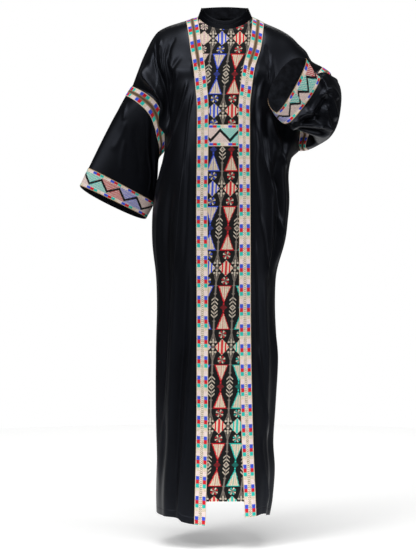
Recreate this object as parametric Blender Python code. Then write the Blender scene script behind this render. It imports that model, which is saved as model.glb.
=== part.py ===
"""A worn bisht: a floor-length black velvet robe with dropped wide sleeves, an embroidered
centre panel between two trimmed front edges, a stand collar and patterned bands.

Metres, +Z up. The front faces -Y and the wearer's right arm is at -X. The origin lies at the
wearer's neck, level with the shoulders: heights below it are called drops. Every piece is a
thin wall of cloth, made from an outer grid of points and the same grid one cloth inwards.
"""

import bmesh
import bpy
import numpy as np

# Cloth and seams
VELVET = 0.0020
WOVEN_TRIM = 0.0013
SEAM_GAP = 0.0003
LAY_GAP = 0.0004

# Bands and collar
TRIM_WIDTH = 0.032
CUFF_BAND_WIDTH = 0.055
ARM_BAND_START = 0.005
SLEEVE_LENGTH = 0.295
COLLAR_HEIGHT_FRONT = 0.024
COLLAR_HEIGHT_BACK = 0.026
COLLAR_LEAN = 0.010
COLLAR_INSET = 0.0012
COLLAR_RISE = 0.0015
WAIST_BAND_DROPS = (0.3094, 0.3698)
BAND_END = 0.005
TRIM_PLACES = np.array([0.0, 0.5, 1.0])

# Levels of the body
UNDERARM_DROP = 0.374
CENTRE_PANEL_DROP = 1.354
NECK_BACK = (0.055, 0.016)
NECK_FRONT = (-0.068, -0.036)
SECTION_SQUARENESS = 2.4
MIDDLE_STARTS = 0.1
MIDDLE_LENGTH = 0.4
SLEEVE_SQUARENESS = 2.3

# How a section turns into the armhole and the neckline, as shares of the way across or down
FOLD_FADE = 0.12
FOLD_RUN_OUT = 0.25
LINE_FADE = 0.22
ROUNDING_WAY = 0.3
BACK_ROUNDING_WAY = 0.6
TURNING_WAY = 0.55
NECK_POWER = 7
LINE_POWER = 2
NECK_CURVE = 1.5
SAG_LENGTH = 0.11
SAG_POWERS = (2.0, 4.0, 1.5)
SLEEVE_BLEND = 0.12
SHARP_ANGLE = 50
ARMHOLE_SPACING = 1.2

# Numbers of steps in the grids
ARMHOLE_STEPS = 12
BODY_PARTING_ROW = ARMHOLE_STEPS + 1
BODY_STEPS = 17
FRONT_STEPS = 10
BACK_STEPS = 13
NECK_STEPS = 4
CENTRE_STEPS = 8
COLLAR_STEPS = 32
SLEEVE_STEPS = 6
ELBOW_RING = 6

RIGHT = -1
LEFT = 1


def table(names, *rows):
    """A table with named columns, each of them an array."""
    return dict(zip(names.split(), np.array(rows, float).T))


# Reach to the side seams and depth of the robe, a row for each level below the underarm
BODY = table(
    "drop right left front back",
    (0.374, 0.170, 0.212, 0.132, 0.104),
    (0.400, 0.176, 0.187, 0.131, 0.102),
    (0.450, 0.186, 0.182, 0.129, 0.098),
    (0.516, 0.202, 0.186, 0.126, 0.094),
    (0.570, 0.206, 0.180, 0.125, 0.098),
    (0.620, 0.206, 0.175, 0.126, 0.106),
    (0.680, 0.201, 0.157, 0.128, 0.112),
    (0.720, 0.195, 0.146, 0.130, 0.114),
    (0.820, 0.192, 0.143, 0.134, 0.117),
    (0.960, 0.195, 0.149, 0.138, 0.121),
    (1.090, 0.194, 0.142, 0.141, 0.125),
    (1.210, 0.191, 0.133, 0.143, 0.128),
    (1.260, 0.193, 0.140, 0.144, 0.129),
    (1.345, 0.195, 0.134, 0.146, 0.131),
    (1.425, 0.193, 0.123, 0.147, 0.132),
)

# Front edges of the robe, where the centre panel begins, and how far forward they lie
EDGE = table(
    "drop right left front",
    (-0.008, 0.0765, 0.0790, 0.000),
    (0.004, 0.0755, 0.0785, 0.030),
    (0.020, 0.0730, 0.0770, 0.054),
    (0.045, 0.0695, 0.0745, 0.073),
    (0.080, 0.0650, 0.0695, 0.089),
    (0.140, 0.0560, 0.0520, 0.106),
    (0.200, 0.0495, 0.0430, 0.118),
    (0.260, 0.0455, 0.0375, 0.126),
    (0.374, 0.0460, 0.0375, 0.132),
    (0.530, 0.0480, 0.0390, 0.126),
    (0.830, 0.0465, 0.0395, 0.134),
    (1.110, 0.0470, 0.0440, 0.141),
    (1.425, 0.0535, 0.0555, 0.147),
)

# The middle of the back, from the neckline down to the underarm
BACK_MIDDLE = table(
    "drop back",
    (-0.016, 0.055),
    (0.010, 0.074),
    (0.050, 0.089),
    (0.110, 0.103),
    (0.190, 0.110),
    (0.280, 0.109),
    (0.374, 0.104),
)

# Shoulder lines from the neck point out to the top of the armhole
RIGHT_SHOULDER = table(
    "reach drop",
    (0.0765, -0.008),
    (0.112, 0.003),
    (0.161, 0.0185),
    (0.187, 0.032),
    (0.200, 0.046),
    (0.230, 0.104),
    (0.247, 0.147),
    (0.261, 0.185),
)
LEFT_SHOULDER = table(
    "reach drop",
    (0.0790, -0.008),
    (0.112, 0.008),
    (0.158, 0.028),
    (0.190, 0.048),
    (0.212, 0.070),
    (0.234, 0.092),
    (0.248, 0.117),
    (0.275, 0.132),
)

# Armholes: front and back halves from the top down to the underarm
RIGHT_ARMHOLE_FRONT = table(
    "way reach y drop",
    (0.00, 0.261, 0.000, 0.185),
    (0.15, 0.238, -0.032, 0.198),
    (0.29, 0.212, -0.050, 0.215),
    (0.42, 0.188, -0.057, 0.238),
    (0.55, 0.174, -0.051, 0.270),
    (0.69, 0.170, -0.042, 0.304),
    (0.85, 0.167, -0.028, 0.339),
    (1.00, 0.170, -0.006, 0.374),
)
RIGHT_ARMHOLE_BACK = table(
    "way reach y drop",
    (0.00, 0.261, 0.000, 0.185),
    (0.16, 0.250, 0.034, 0.206),
    (0.33, 0.235, 0.053, 0.237),
    (0.50, 0.216, 0.057, 0.271),
    (0.67, 0.197, 0.047, 0.306),
    (0.84, 0.180, 0.024, 0.343),
    (1.00, 0.170, -0.006, 0.374),
)
LEFT_ARMHOLE_FRONT = table(
    "way reach y drop",
    (0.00, 0.275, 0.000, 0.132),
    (0.12, 0.264, -0.028, 0.147),
    (0.27, 0.246, -0.044, 0.181),
    (0.43, 0.231, -0.050, 0.223),
    (0.59, 0.219, -0.048, 0.268),
    (0.75, 0.211, -0.040, 0.313),
    (0.89, 0.208, -0.025, 0.350),
    (1.00, 0.212, -0.006, 0.374),
)
LEFT_ARMHOLE_BACK = table(
    "way reach y drop",
    (0.00, 0.275, 0.000, 0.132),
    (0.13, 0.270, 0.030, 0.152),
    (0.29, 0.262, 0.047, 0.192),
    (0.46, 0.251, 0.052, 0.237),
    (0.63, 0.238, 0.046, 0.284),
    (0.80, 0.224, 0.028, 0.332),
    (1.00, 0.212, -0.006, 0.374),
)

# Sleeves: a ring for each row, from the armhole to the mouth. Each ring runs from its top to
# its bottom point; inner is its half thickness on the side that faces front at the armhole,
# outer on the other side; yaw turns the inner side about the ring's length, lift tips it up.
RIGHT_SLEEVE = table(
    "along top_reach top_y top_drop low_reach low_y low_drop inner outer yaw lift",
    (0.000, 0.261, 0.000, 0.185, 0.170, -0.006, 0.374, 0.052, 0.056, 0, 0),
    (0.035, 0.281, 0.001, 0.214, 0.187, 0.002, 0.396, 0.046, 0.052, 0, 0),
    (0.130, 0.327, 0.006, 0.300, 0.191, 0.026, 0.446, 0.040, 0.046, 0, 2),
    (0.240, 0.388, 0.008, 0.422, 0.203, 0.026, 0.519, 0.032, 0.036, 0, 5),
    (0.295, 0.412, 0.006, 0.474, 0.225, 0.022, 0.564, 0.028, 0.034, 0, 6),
)
LEFT_SLEEVE = table(
    "along top_reach top_y top_drop low_reach low_y low_drop inner outer yaw lift",
    (0.000, 0.275, 0.000, 0.132, 0.212, -0.006, 0.374, 0.045, 0.050, 0, 0),
    (0.035, 0.301, -0.008, 0.154, 0.237, -0.016, 0.371, 0.044, 0.050, 14, 0),
    (0.090, 0.305, -0.035, 0.172, 0.268, -0.048, 0.356, 0.044, 0.046, 50, 0),
    (0.150, 0.284, -0.105, 0.172, 0.270, -0.115, 0.349, 0.044, 0.044, 92, 0),
    (0.200, 0.272, -0.150, 0.166, 0.215, -0.160, 0.332, 0.045, 0.035, 118, 6),
    (0.240, 0.256, -0.172, 0.180, 0.163, -0.172, 0.310, 0.055, 0.022, 130, 16),
    (0.295, 0.2185, -0.190, 0.133, 0.139, -0.186, 0.279, 0.062, 0.016, 135, 20),
)

# Hems: drop of each panel's lower edge across it, from its inner edge to its side seam
RIGHT_HEM = table("across drop", (0, 1.421), (0.28, 1.412), (0.36, 1.402), (1, 1.397))
LEFT_HEM = table("across drop", (0, 1.398), (0.35, 1.391), (0.6, 1.401), (1, 1.404))
BACK_HEM_RIGHT = table("across drop", (0, 1.374), (0.6, 1.382), (1, 1.397))
BACK_HEM_LEFT = table("across drop", (0, 1.374), (0.6, 1.386), (1, 1.404))

# Largest folds of each panel: where a fold starts and ends, across the panel and down it,
# how high its ridge stands (a trough is negative) and how wide it is
FOLD_NAMES = "start_across end_across start_drop end_drop height width"
RIGHT_FRONT_FOLDS = table(
    FOLD_NAMES,
    (0.86, 0.88, 0.140, 0.320, 0.022, 0.075),
    (0.62, 0.72, 0.080, 0.300, -0.008, 0.060),
    (0.36, 0.55, 0.070, 0.200, -0.005, 0.060),
    (0.30, 0.55, 0.480, 1.420, 0.007, 0.070),
    (0.44, 0.68, 0.520, 1.300, -0.006, 0.060),
    (0.66, 0.82, 0.560, 1.250, 0.006, 0.070),
    (0.22, 0.40, 0.700, 1.420, -0.005, 0.050),
)
LEFT_FRONT_FOLDS = table(
    FOLD_NAMES,
    (0.34, 0.46, 0.400, 0.720, 0.007, 0.060),
    (0.46, 0.58, 0.420, 0.720, -0.007, 0.060),
    (0.56, 0.70, 0.360, 0.690, 0.008, 0.070),
    (0.62, 0.50, 0.200, 0.420, -0.006, 0.080),
    (0.44, 0.52, 0.760, 1.420, 0.006, 0.070),
    (0.62, 0.74, 0.800, 1.420, -0.006, 0.070),
    (0.80, 0.84, 0.900, 1.420, 0.006, 0.060),
)
BACK_RIGHT_FOLDS = table(
    FOLD_NAMES,
    (0.16, 0.20, 0.300, 1.420, 0.008, 0.060),
    (0.32, 0.38, 0.260, 1.420, -0.009, 0.060),
    (0.50, 0.56, 0.300, 1.420, 0.010, 0.070),
    (0.70, 0.74, 0.420, 1.420, -0.008, 0.060),
    (0.60, 0.66, 0.060, 0.240, -0.006, 0.080),
)
BACK_LEFT_FOLDS = table(
    FOLD_NAMES,
    (0.14, 0.16, 0.340, 1.420, -0.008, 0.060),
    (0.30, 0.34, 0.280, 1.420, 0.010, 0.070),
    (0.48, 0.54, 0.320, 1.420, -0.009, 0.060),
    (0.66, 0.72, 0.380, 1.420, 0.008, 0.060),
    (0.58, 0.52, 0.080, 0.280, -0.006, 0.080),
)

SIDES = {
    RIGHT: {
        "name": "right",
        "shoulder": RIGHT_SHOULDER,
        "armhole_front": RIGHT_ARMHOLE_FRONT,
        "armhole_back": RIGHT_ARMHOLE_BACK,
        "sleeve": RIGHT_SLEEVE,
        "front_hem": RIGHT_HEM,
        "back_hem": BACK_HEM_RIGHT,
        "front_folds": RIGHT_FRONT_FOLDS,
        "back_folds": BACK_RIGHT_FOLDS,
    },
    LEFT: {
        "name": "left",
        "shoulder": LEFT_SHOULDER,
        "armhole_front": LEFT_ARMHOLE_FRONT,
        "armhole_back": LEFT_ARMHOLE_BACK,
        "sleeve": LEFT_SLEEVE,
        "front_hem": LEFT_HEM,
        "back_hem": BACK_HEM_LEFT,
        "front_folds": LEFT_FRONT_FOLDS,
        "back_folds": BACK_LEFT_FOLDS,
    },
}


def follow(rows, key, name, at):
    """Value of a table's column at places along its key column, on a smooth curve."""
    keys = rows[key]
    values = rows[name]
    at = np.clip(np.asarray(at, float), keys[0], keys[-1])
    steps = np.diff(keys)
    rises = np.diff(values) / steps
    before = rises[:-1]
    after = rises[1:]
    same_way = before * after > 0
    total = np.where(same_way, before + after, 1.0)
    inner_slopes = np.where(same_way, 2 * before * after / total, 0.0)
    slopes = np.concatenate([rises[:1], inner_slopes, rises[-1:]])
    low = np.clip(np.searchsorted(keys, at, side="right") - 1, 0, len(steps) - 1)
    t = (at - keys[low]) / steps[low]
    return (
        (2 * t**3 - 3 * t**2 + 1) * values[low]
        + (t**3 - 2 * t**2 + t) * steps[low] * slopes[low]
        + (3 * t**2 - 2 * t**3) * values[low + 1]
        + (t**3 - t**2) * steps[low] * slopes[low + 1]
    )


def ease(x):
    """A smooth step from 0 to 1."""
    x = np.clip(x, 0.0, 1.0)
    return x * x * (3 - 2 * x)


def unit(vectors):
    return vectors / np.linalg.norm(vectors, axis=-1, keepdims=True)


def points(x, y, z):
    return np.stack(np.broadcast_arrays(x, y, z), axis=-1)


def armhole_ways():
    """Where the rows meet the armhole, closer together near the shoulder."""
    return np.linspace(0, 1, ARMHOLE_STEPS + 1) ** ARMHOLE_SPACING


def fold_height(folds, across, drop):
    """How far all the folds of a panel move its cloth outwards."""
    height = np.zeros(np.broadcast(across, drop).shape)
    for n in range(len(folds["height"])):
        start = folds["start_drop"][n]
        end = folds["end_drop"][n]
        down = (drop - start) / (end - start)
        centre = folds["start_across"][n] + np.clip(down, 0, 1) * (
            folds["end_across"][n] - folds["start_across"][n]
        )
        grow = ease(down / FOLD_RUN_OUT + 0.5)
        fade = ease((1 - down) / FOLD_RUN_OUT + 0.5)
        profile = np.exp(-(((across - centre) / folds["width"][n]) ** 2))
        height = height + folds["height"][n] * profile * grow * fade
    return height


def seam_fade(across):
    """Folds die away towards the shoulder line, the armhole and the side seam."""
    ways = np.concatenate([armhole_ways(), np.ones(BODY_STEPS)])[:, None]
    return ease(ways / LINE_FADE) * ease((1 - across) / FOLD_FADE)


def front_inner_edge(side, drop):
    """The front edge of the robe, as x and y."""
    name = SIDES[side]["name"]
    return side * follow(EDGE, "drop", name, drop), -follow(EDGE, "drop", "front", drop)


def across_steps(width):
    """Places across a front panel: three for its trim and the rest in even turns of the
    quarter section, with a row for each width in the column given."""
    trim_share = TRIM_PLACES * TRIM_WIDTH / width
    trim = np.arcsin(trim_share ** (SECTION_SQUARENESS / 2)) * 2 / np.pi
    rest = np.linspace(0, 1, FRONT_STEPS)[1:]
    return np.concatenate([trim, trim[:, 2:] + (1 - trim[:, 2:]) * rest], axis=1)


def front_grid(side):
    """Outer points of a front panel, rows from the shoulder to the hem, columns from the
    front edge to the armhole and side seam, with the fold height at each point."""
    parts = SIDES[side]
    shoulder = parts["shoulder"]
    ways = armhole_ways()
    top_drop = shoulder["drop"][0]
    edge_drop = top_drop + (UNDERARM_DROP - top_drop) * ways
    edge_x, edge_y = front_inner_edge(side, edge_drop)
    hole = {
        name: follow(parts["armhole_front"], "way", name, ways)
        for name in ("reach", "y", "drop")
    }
    width = (hole["reach"] - side * edge_x)[:, None]
    across = across_steps(width)
    reach_round = np.sin(across * np.pi / 2) ** (2 / SECTION_SQUARENESS)
    trim_share = TRIM_PLACES * TRIM_WIDTH / width
    rest = np.linspace(0, 1, FRONT_STEPS)[1:]
    even = trim_share[:, 2:] + (1 - trim_share[:, 2:]) * rest
    reach_even = np.concatenate([trim_share, even], axis=1)
    blend = ease(ways / ROUNDING_WAY)[:, None]
    share = (1 - blend) * reach_even + blend * reach_round
    x = edge_x[:, None] + (side * hole["reach"] - edge_x)[:, None] * share
    y = hole["y"][:, None] + (edge_y - hole["y"])[:, None] * depth_share(share, ways)
    first_reach = shoulder["reach"][0] + share[0] * (
        shoulder["reach"][-1] - shoulder["reach"][0]
    )
    line_drop = follow(shoulder, "reach", "drop", first_reach)
    fade = ((1 - ways) ** LINE_POWER)[:, None]
    span = (hole["drop"] - edge_drop)[:, None] - (shoulder["drop"][-1] - top_drop) * fade
    drop = edge_drop[:, None] + (line_drop - top_drop)[None, :] * fade + span * share
    upper = points(x, y, -drop)
    lower, lower_across, lower_drop = lower_rows(side, upper[-1], share[-1], across[-1], "front")
    grid = np.concatenate([upper, lower])
    across = np.concatenate([across, lower_across])
    drop = np.concatenate([drop, lower_drop])
    height = fold_height(parts["front_folds"], across, drop)
    trim_fade = ease((across - across[:, 2:3]) / FOLD_FADE)
    return grid, height * seam_fade(across) * trim_fade


def depth_share(share, ways):
    """How much of a section's depth is left at each share of its reach. At the armhole a
    section still heads outwards, at the underarm it turns round into the side seam."""
    heading_out = 1 - share**SECTION_SQUARENESS
    turning = np.clip(heading_out, 0, 1) ** (1 / SECTION_SQUARENESS)
    blend = ease((ways - TURNING_WAY) / (1 - TURNING_WAY))[:, None]
    return (1 - blend) * heading_out + blend * turning


def lower_rows(side, first, share, across, which):
    """Rows of a panel from the underarm down to the hem."""
    parts = SIDES[side]
    down = np.linspace(0, 1, BODY_STEPS + 1)[1:, None]
    first_drop = -first[:, 2]
    hem = follow(parts[which + "_hem"], "across", "drop", across)
    drop = first_drop + (hem - first_drop) * down
    reach = follow(BODY, "drop", parts["name"], drop)
    if which == "front":
        inner_x, inner_y = front_inner_edge(side, drop)
        across = across_steps((reach - side * inner_x)[:, :1])
        share = np.sin(across * np.pi / 2) ** (2 / SECTION_SQUARENESS)
    else:
        inner_x = middle_x(drop)
        inner_y = follow(BODY, "drop", "back", drop)
        across = np.broadcast_to(across, drop.shape)
        share = np.broadcast_to(share, drop.shape)
    x = inner_x + (side * reach - inner_x) * share
    seam_y = first[-1, 1]
    y_share = np.clip(1 - share**SECTION_SQUARENESS, 0, 1) ** (1 / SECTION_SQUARENESS)
    y = seam_y + (inner_y - seam_y) * y_share
    return points(x, y, -drop), across, drop


def middle_x(drop):
    """The middle of the robe between its side seams."""
    right = follow(BODY, "drop", "right", drop)
    left = follow(BODY, "drop", "left", drop)
    return ease((drop - MIDDLE_STARTS) / MIDDLE_LENGTH) * (left - right) / 2


def neckline(turn):
    """A point of the neckline; turn is 0 at the back, 90 at the left shoulder and so on."""
    angle = np.radians(turn)
    sideways = np.sin(angle)
    behind = np.cos(angle)
    reach = np.where(sideways > 0, LEFT_SHOULDER["reach"][0], RIGHT_SHOULDER["reach"][0])
    side_z = -RIGHT_SHOULDER["drop"][0]
    y = np.where(behind > 0, NECK_BACK[0], -NECK_FRONT[0]) * behind
    z = side_z + np.where(behind > 0, NECK_BACK[1] - side_z, NECK_FRONT[1] - side_z) * (
        np.abs(behind) ** NECK_CURVE
    )
    return points(reach * sideways, y, z)


def back_half(side):
    """Outer points of half the back panel, columns from the middle to the side."""
    parts = SIDES[side]
    shoulder = parts["shoulder"]
    ways = armhole_ways()
    across = np.linspace(0, 1, BACK_STEPS + 1)
    neck_part = NECK_STEPS / BACK_STEPS
    in_neck = np.arange(BACK_STEPS + 1) <= NECK_STEPS
    turns = side * 90 * np.clip(across / neck_part, 0, 1)
    line_reach = shoulder["reach"][0] + (shoulder["reach"][-1] - shoulder["reach"][0]) * (
        (across - neck_part) / (1 - neck_part)
    )
    line_reach = np.clip(line_reach, shoulder["reach"][0], None)
    line = points(side * line_reach, 0.0, -follow(shoulder, "reach", "drop", line_reach))
    top = np.where(in_neck[:, None], neckline(turns), line)
    hole = {
        name: follow(parts["armhole_back"], "way", name, ways)
        for name in ("reach", "y", "drop")
    }
    first_drop = -NECK_BACK[1]
    middle_drop = first_drop + (UNDERARM_DROP - first_drop) * ways
    middle_y = follow(BACK_MIDDLE, "drop", "back", middle_drop)
    top_share = np.abs(top[:, 0]) / shoulder["reach"][-1]
    round_share = np.sin(across * np.pi / 2) ** (2 / SECTION_SQUARENESS)
    blend = ease(ways / BACK_ROUNDING_WAY)[:, None]
    share = (1 - blend) * top_share + blend * round_share
    centre = middle_x(middle_drop)[:, None]
    x = centre + (side * hole["reach"][:, None] - centre) * share
    y = hole["y"][:, None] + (middle_y - hole["y"])[:, None] * depth_share(share, ways)
    y = y + (top[:, 1] - y[0]) * ((1 - ways) ** NECK_POWER)[:, None]
    fade = ((1 - ways) ** LINE_POWER)[:, None]
    span = (hole["drop"] - middle_drop)[:, None] - (shoulder["drop"][-1] - first_drop) * fade
    drop = middle_drop[:, None] + (-top[:, 2] - first_drop)[None, :] * fade + span * share
    upper = points(x, y, -drop)
    lower, _, lower_drop = lower_rows(side, upper[-1], share[-1], across, "back")
    grid = np.concatenate([upper, lower])
    drop = np.concatenate([drop, lower_drop])
    height = fold_height(parts["back_folds"], across[None, :], drop)
    return grid, height * seam_fade(across[None, :]) * ease(across / FOLD_FADE)


def back_grid():
    """The whole back panel, columns from the right side seam to the left one."""
    right, right_height = back_half(RIGHT)
    left, left_height = back_half(LEFT)
    grid = np.concatenate([right[:, ::-1], left[:, 1:]], axis=1)
    height = np.concatenate([right_height[:, ::-1], left_height[:, 1:]], axis=1)
    return grid, height


def centre_grid(right_edge, left_edge):
    """The centre panel between the fronts' inner edges, cut off above their hems."""
    lowest = int(np.argmax(-right_edge[:, 2] > CENTRE_PANEL_DROP))
    rows = []
    top_drop = -right_edge[0, 2]
    turns = np.linspace(270, 90, CENTRE_STEPS + 1)
    curve = neckline(turns)
    chord = right_edge[0] + (left_edge[0] - right_edge[0]) * np.linspace(
        0, 1, CENTRE_STEPS + 1
    )[:, None]
    sag = curve - chord
    for row in range(lowest + 1):
        right = right_edge[row]
        left = left_edge[row]
        if row == lowest:
            right = at_drop(right_edge, CENTRE_PANEL_DROP)
            left = at_drop(left_edge, CENTRE_PANEL_DROP)
        share = np.linspace(0, 1, CENTRE_STEPS + 1)[:, None]
        left_over = 1 - np.clip((-right[2] - top_drop) / SAG_LENGTH, 0, 1)
        rows.append(right + (left - right) * share + sag * left_over ** np.array(SAG_POWERS))
    return np.array(rows)


def at_drop(edge, drop):
    """The point of an edge at one level."""
    levels = -edge[:, 2]
    return np.array([np.interp(drop, levels, edge[:, axis]) for axis in range(3)])


def sleeve_ring(side, along, around):
    """Points round a sleeve; around runs 0 to 1 from the top, over the front, and back."""
    rows = SIDES[side]["sleeve"]
    value = {name: follow(rows, "along", name, along) for name in rows if name != "along"}
    top = points(side * value["top_reach"], value["top_y"], -value["top_drop"])
    low = points(side * value["low_reach"], value["low_y"], -value["low_drop"])
    yaw = np.radians(value["yaw"])
    lift = np.radians(value["lift"])
    inward = points(
        -side * np.sin(yaw) * np.cos(lift), -np.cos(yaw) * np.cos(lift), np.sin(lift)
    )
    angle = around * 2 * np.pi
    length_share = np.sign(np.cos(angle)) * np.abs(np.cos(angle)) ** (2 / SLEEVE_SQUARENESS)
    thick_share = np.sign(np.sin(angle)) * np.abs(np.sin(angle)) ** (2 / SLEEVE_SQUARENESS)
    thickness = np.where(thick_share > 0, value["inner"], value["outer"])
    return (
        (top + low) / 2
        + length_share[:, None] * (top - low) / 2
        + (thick_share * thickness)[:, None] * inward
    )


def armhole_loop(side, ways):
    """The armhole from its top over the front to the underarm and up the back."""
    parts = SIDES[side]
    front = parts["armhole_front"]
    back = parts["armhole_back"]
    halves = []
    for rows, at in ((front, ways[:-1]), (back, ways[:0:-1])):
        reach = follow(rows, "way", "reach", at)
        y = follow(rows, "way", "y", at)
        drop = follow(rows, "way", "drop", at)
        halves.append(points(side * reach, y, -drop))
    return np.concatenate(halves)


def sleeve_grid(side):
    """Outer points of a sleeve, a row for each ring and a column for each armhole step."""
    ways = armhole_ways()
    around = np.concatenate([ways[:-1] / 2, 1 - ways[:0:-1] / 2])
    loop = armhole_loop(side, ways)
    band_end = ARM_BAND_START + TRIM_WIDTH
    cuff = SLEEVE_LENGTH - CUFF_BAND_WIDTH
    alongs = np.concatenate([
        [0.0, ARM_BAND_START, ARM_BAND_START + TRIM_WIDTH / 2],
        np.linspace(band_end, cuff, SLEEVE_STEPS + 1),
        [cuff + CUFF_BAND_WIDTH / 2, SLEEVE_LENGTH],
    ])
    first = sleeve_ring(side, 0.0, around)
    rings = []
    for along in alongs:
        rest = (loop - first) * (1 - ease(along / SLEEVE_BLEND))
        rings.append(sleeve_ring(side, along, around) + rest)
    return np.array(rings)


def outward(grid, closed):
    """Unit normals of a grid of points, pointing out of the garment."""
    down = np.gradient(grid, axis=0)
    if closed:
        wide = np.concatenate([grid[:, -1:], grid, grid[:, :1]], axis=1)
        over = (wide[:, 2:] - wide[:, :-2]) / 2
    else:
        over = np.gradient(grid, axis=1)
    return unit(np.cross(over, down))


def flatten(vectors, axis):
    """Unit vectors with one component taken out."""
    vectors = vectors.copy()
    vectors[..., axis] = 0
    return unit(vectors)


def material(name, colour, roughness):
    look = bpy.data.materials.new(name)
    look.use_nodes = True
    shader = look.node_tree.nodes["Principled BSDF"]
    shader.inputs["Base Color"].default_value = (*colour, 1.0)
    shader.inputs["Roughness"].default_value = roughness
    return look


def wall(name, outer, inner, closed, look):
    """A piece of cloth as a closed wall between two grids of points. Closed grids join
    their last column to the first."""
    rows, columns = outer.shape[:2]
    mesh = bmesh.new()
    layers = [
        [[mesh.verts.new(point) for point in row] for row in grid] for grid in (outer, inner)
    ]
    out, inn = layers
    last = columns if closed else columns - 1
    for row in range(rows - 1):
        for column in range(last):
            right = (column + 1) % columns
            a, b = out[row][column], out[row][right]
            c, d = out[row + 1][right], out[row + 1][column]
            mesh.faces.new((a, d, c, b))
            a, b = inn[row][column], inn[row][right]
            c, d = inn[row + 1][right], inn[row + 1][column]
            mesh.faces.new((a, b, c, d))
    for column in range(last):
        right = (column + 1) % columns
        mesh.faces.new((out[0][column], out[0][right], inn[0][right], inn[0][column]))
        mesh.faces.new((out[-1][right], out[-1][column], inn[-1][column], inn[-1][right]))
    if not closed:
        for row in range(rows - 1):
            mesh.faces.new((out[row + 1][0], out[row][0], inn[row][0], inn[row + 1][0]))
            mesh.faces.new((out[row][-1], out[row + 1][-1], inn[row + 1][-1], inn[row][-1]))
    bmesh.ops.triangulate(mesh, faces=mesh.faces[:], quad_method="FIXED")
    bmesh.ops.recalc_face_normals(mesh, faces=mesh.faces[:])
    data = bpy.data.meshes.new(name)
    mesh.to_mesh(data)
    mesh.free()
    data.materials.append(look)
    data.shade_smooth()
    data.set_sharp_from_angle(angle=np.radians(SHARP_ANGLE))
    piece = bpy.data.objects.new(name, data)
    bpy.context.scene.collection.objects.link(piece)
    return piece


def wall_in_two(name, outer, inner, closed, row, look):
    """A large piece of cloth as an upper and a lower wall, parted by a seam gap at a row."""
    gap = unit(outer[row - 1] - outer[row + 1]) * SEAM_GAP / 2
    upper = [layer[:row + 1].copy() for layer in (outer, inner)]
    lower = [layer[row:].copy() for layer in (outer, inner)]
    for layer in upper:
        layer[-1] += gap
    for layer in lower:
        layer[0] -= gap
    wall(name + "_upper", *upper, closed, look)
    wall(name + "_lower", *lower, closed, look)


def patch_on(grid, out, low, high):
    """Two layers of points lying on a grid, from one height above it to another."""
    return grid + out * high, grid + out * low


def clear_scene():
    for thing in list(bpy.data.objects):
        bpy.data.objects.remove(thing, do_unlink=True)


def make_sleeve(side, body_out, looks):
    """A sleeve with its arm band and cuff band. Returns the armhole's shared direction."""
    name = SIDES[side]["name"]
    grid = sleeve_grid(side)
    out = outward(grid, closed=True)
    if side == RIGHT:
        out = -out
    shared = unit(out[0] + body_out)
    shared[0] = flatten(shared[0], 1)
    shared[ARMHOLE_STEPS] = flatten(shared[ARMHOLE_STEPS], 1)
    step = unit(grid[1] - grid[0])
    outer = grid.copy()
    outer[0] = outer[0] + step * SEAM_GAP
    thickness = out.copy()
    thickness[0] = shared
    inner = grid - thickness * VELVET
    inner[0] = inner[0] + step * SEAM_GAP
    if side == LEFT:
        wall_in_two("sleeve_left", outer, inner, True, ELBOW_RING, looks["velvet"])
    else:
        wall("sleeve_right", outer, inner, True, looks["velvet"])
    above = (LAY_GAP, LAY_GAP + WOVEN_TRIM)
    outer, inner = patch_on(grid[1:4], out[1:4], *above)
    wall("arm_band_" + name, outer, inner, True, looks["trim"])
    outer, inner = patch_on(grid[-3:], out[-3:], *above)
    wall("cuff_band_" + name, outer, inner, True, looks["band"])
    return shared


def make_collar(looks):
    """The stand collar, leaning inwards, above the neckline."""
    turns = np.linspace(0, 360, COLLAR_STEPS + 1)[:-1]
    foot = neckline(turns)
    outwards = flatten(foot, 2)
    foot = foot - outwards * COLLAR_INSET + np.array([0, 0, COLLAR_RISE])
    behind = (1 + np.cos(np.radians(turns))) / 2
    height = COLLAR_HEIGHT_FRONT + (COLLAR_HEIGHT_BACK - COLLAR_HEIGHT_FRONT) * behind
    rows = []
    for level in (0.0, 0.5, 1.0):
        rise = points(0.0, 0.0, height * level)
        rows.append(foot + rise - outwards * COLLAR_LEAN * level)
    outer = np.array(rows)
    inner = outer - outwards * VELVET
    wall("collar", outer, inner, True, looks["velvet"])


def make_waist_band(right_edge, left_edge, looks):
    """The zigzag band across the centre panel."""
    rows = []
    for drop in np.linspace(*WAIST_BAND_DROPS, 3):
        right = at_drop(right_edge, drop)
        left = at_drop(left_edge, drop)
        rows.append(right + (left - right) * np.linspace(BAND_END, 1 - BAND_END, 3)[:, None])
    grid = np.array(rows)
    outer, inner = patch_on(grid, np.array([0, -1.0, 0]), LAY_GAP, LAY_GAP + WOVEN_TRIM)
    wall("waist_band", outer, inner, False, looks["band"])


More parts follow.
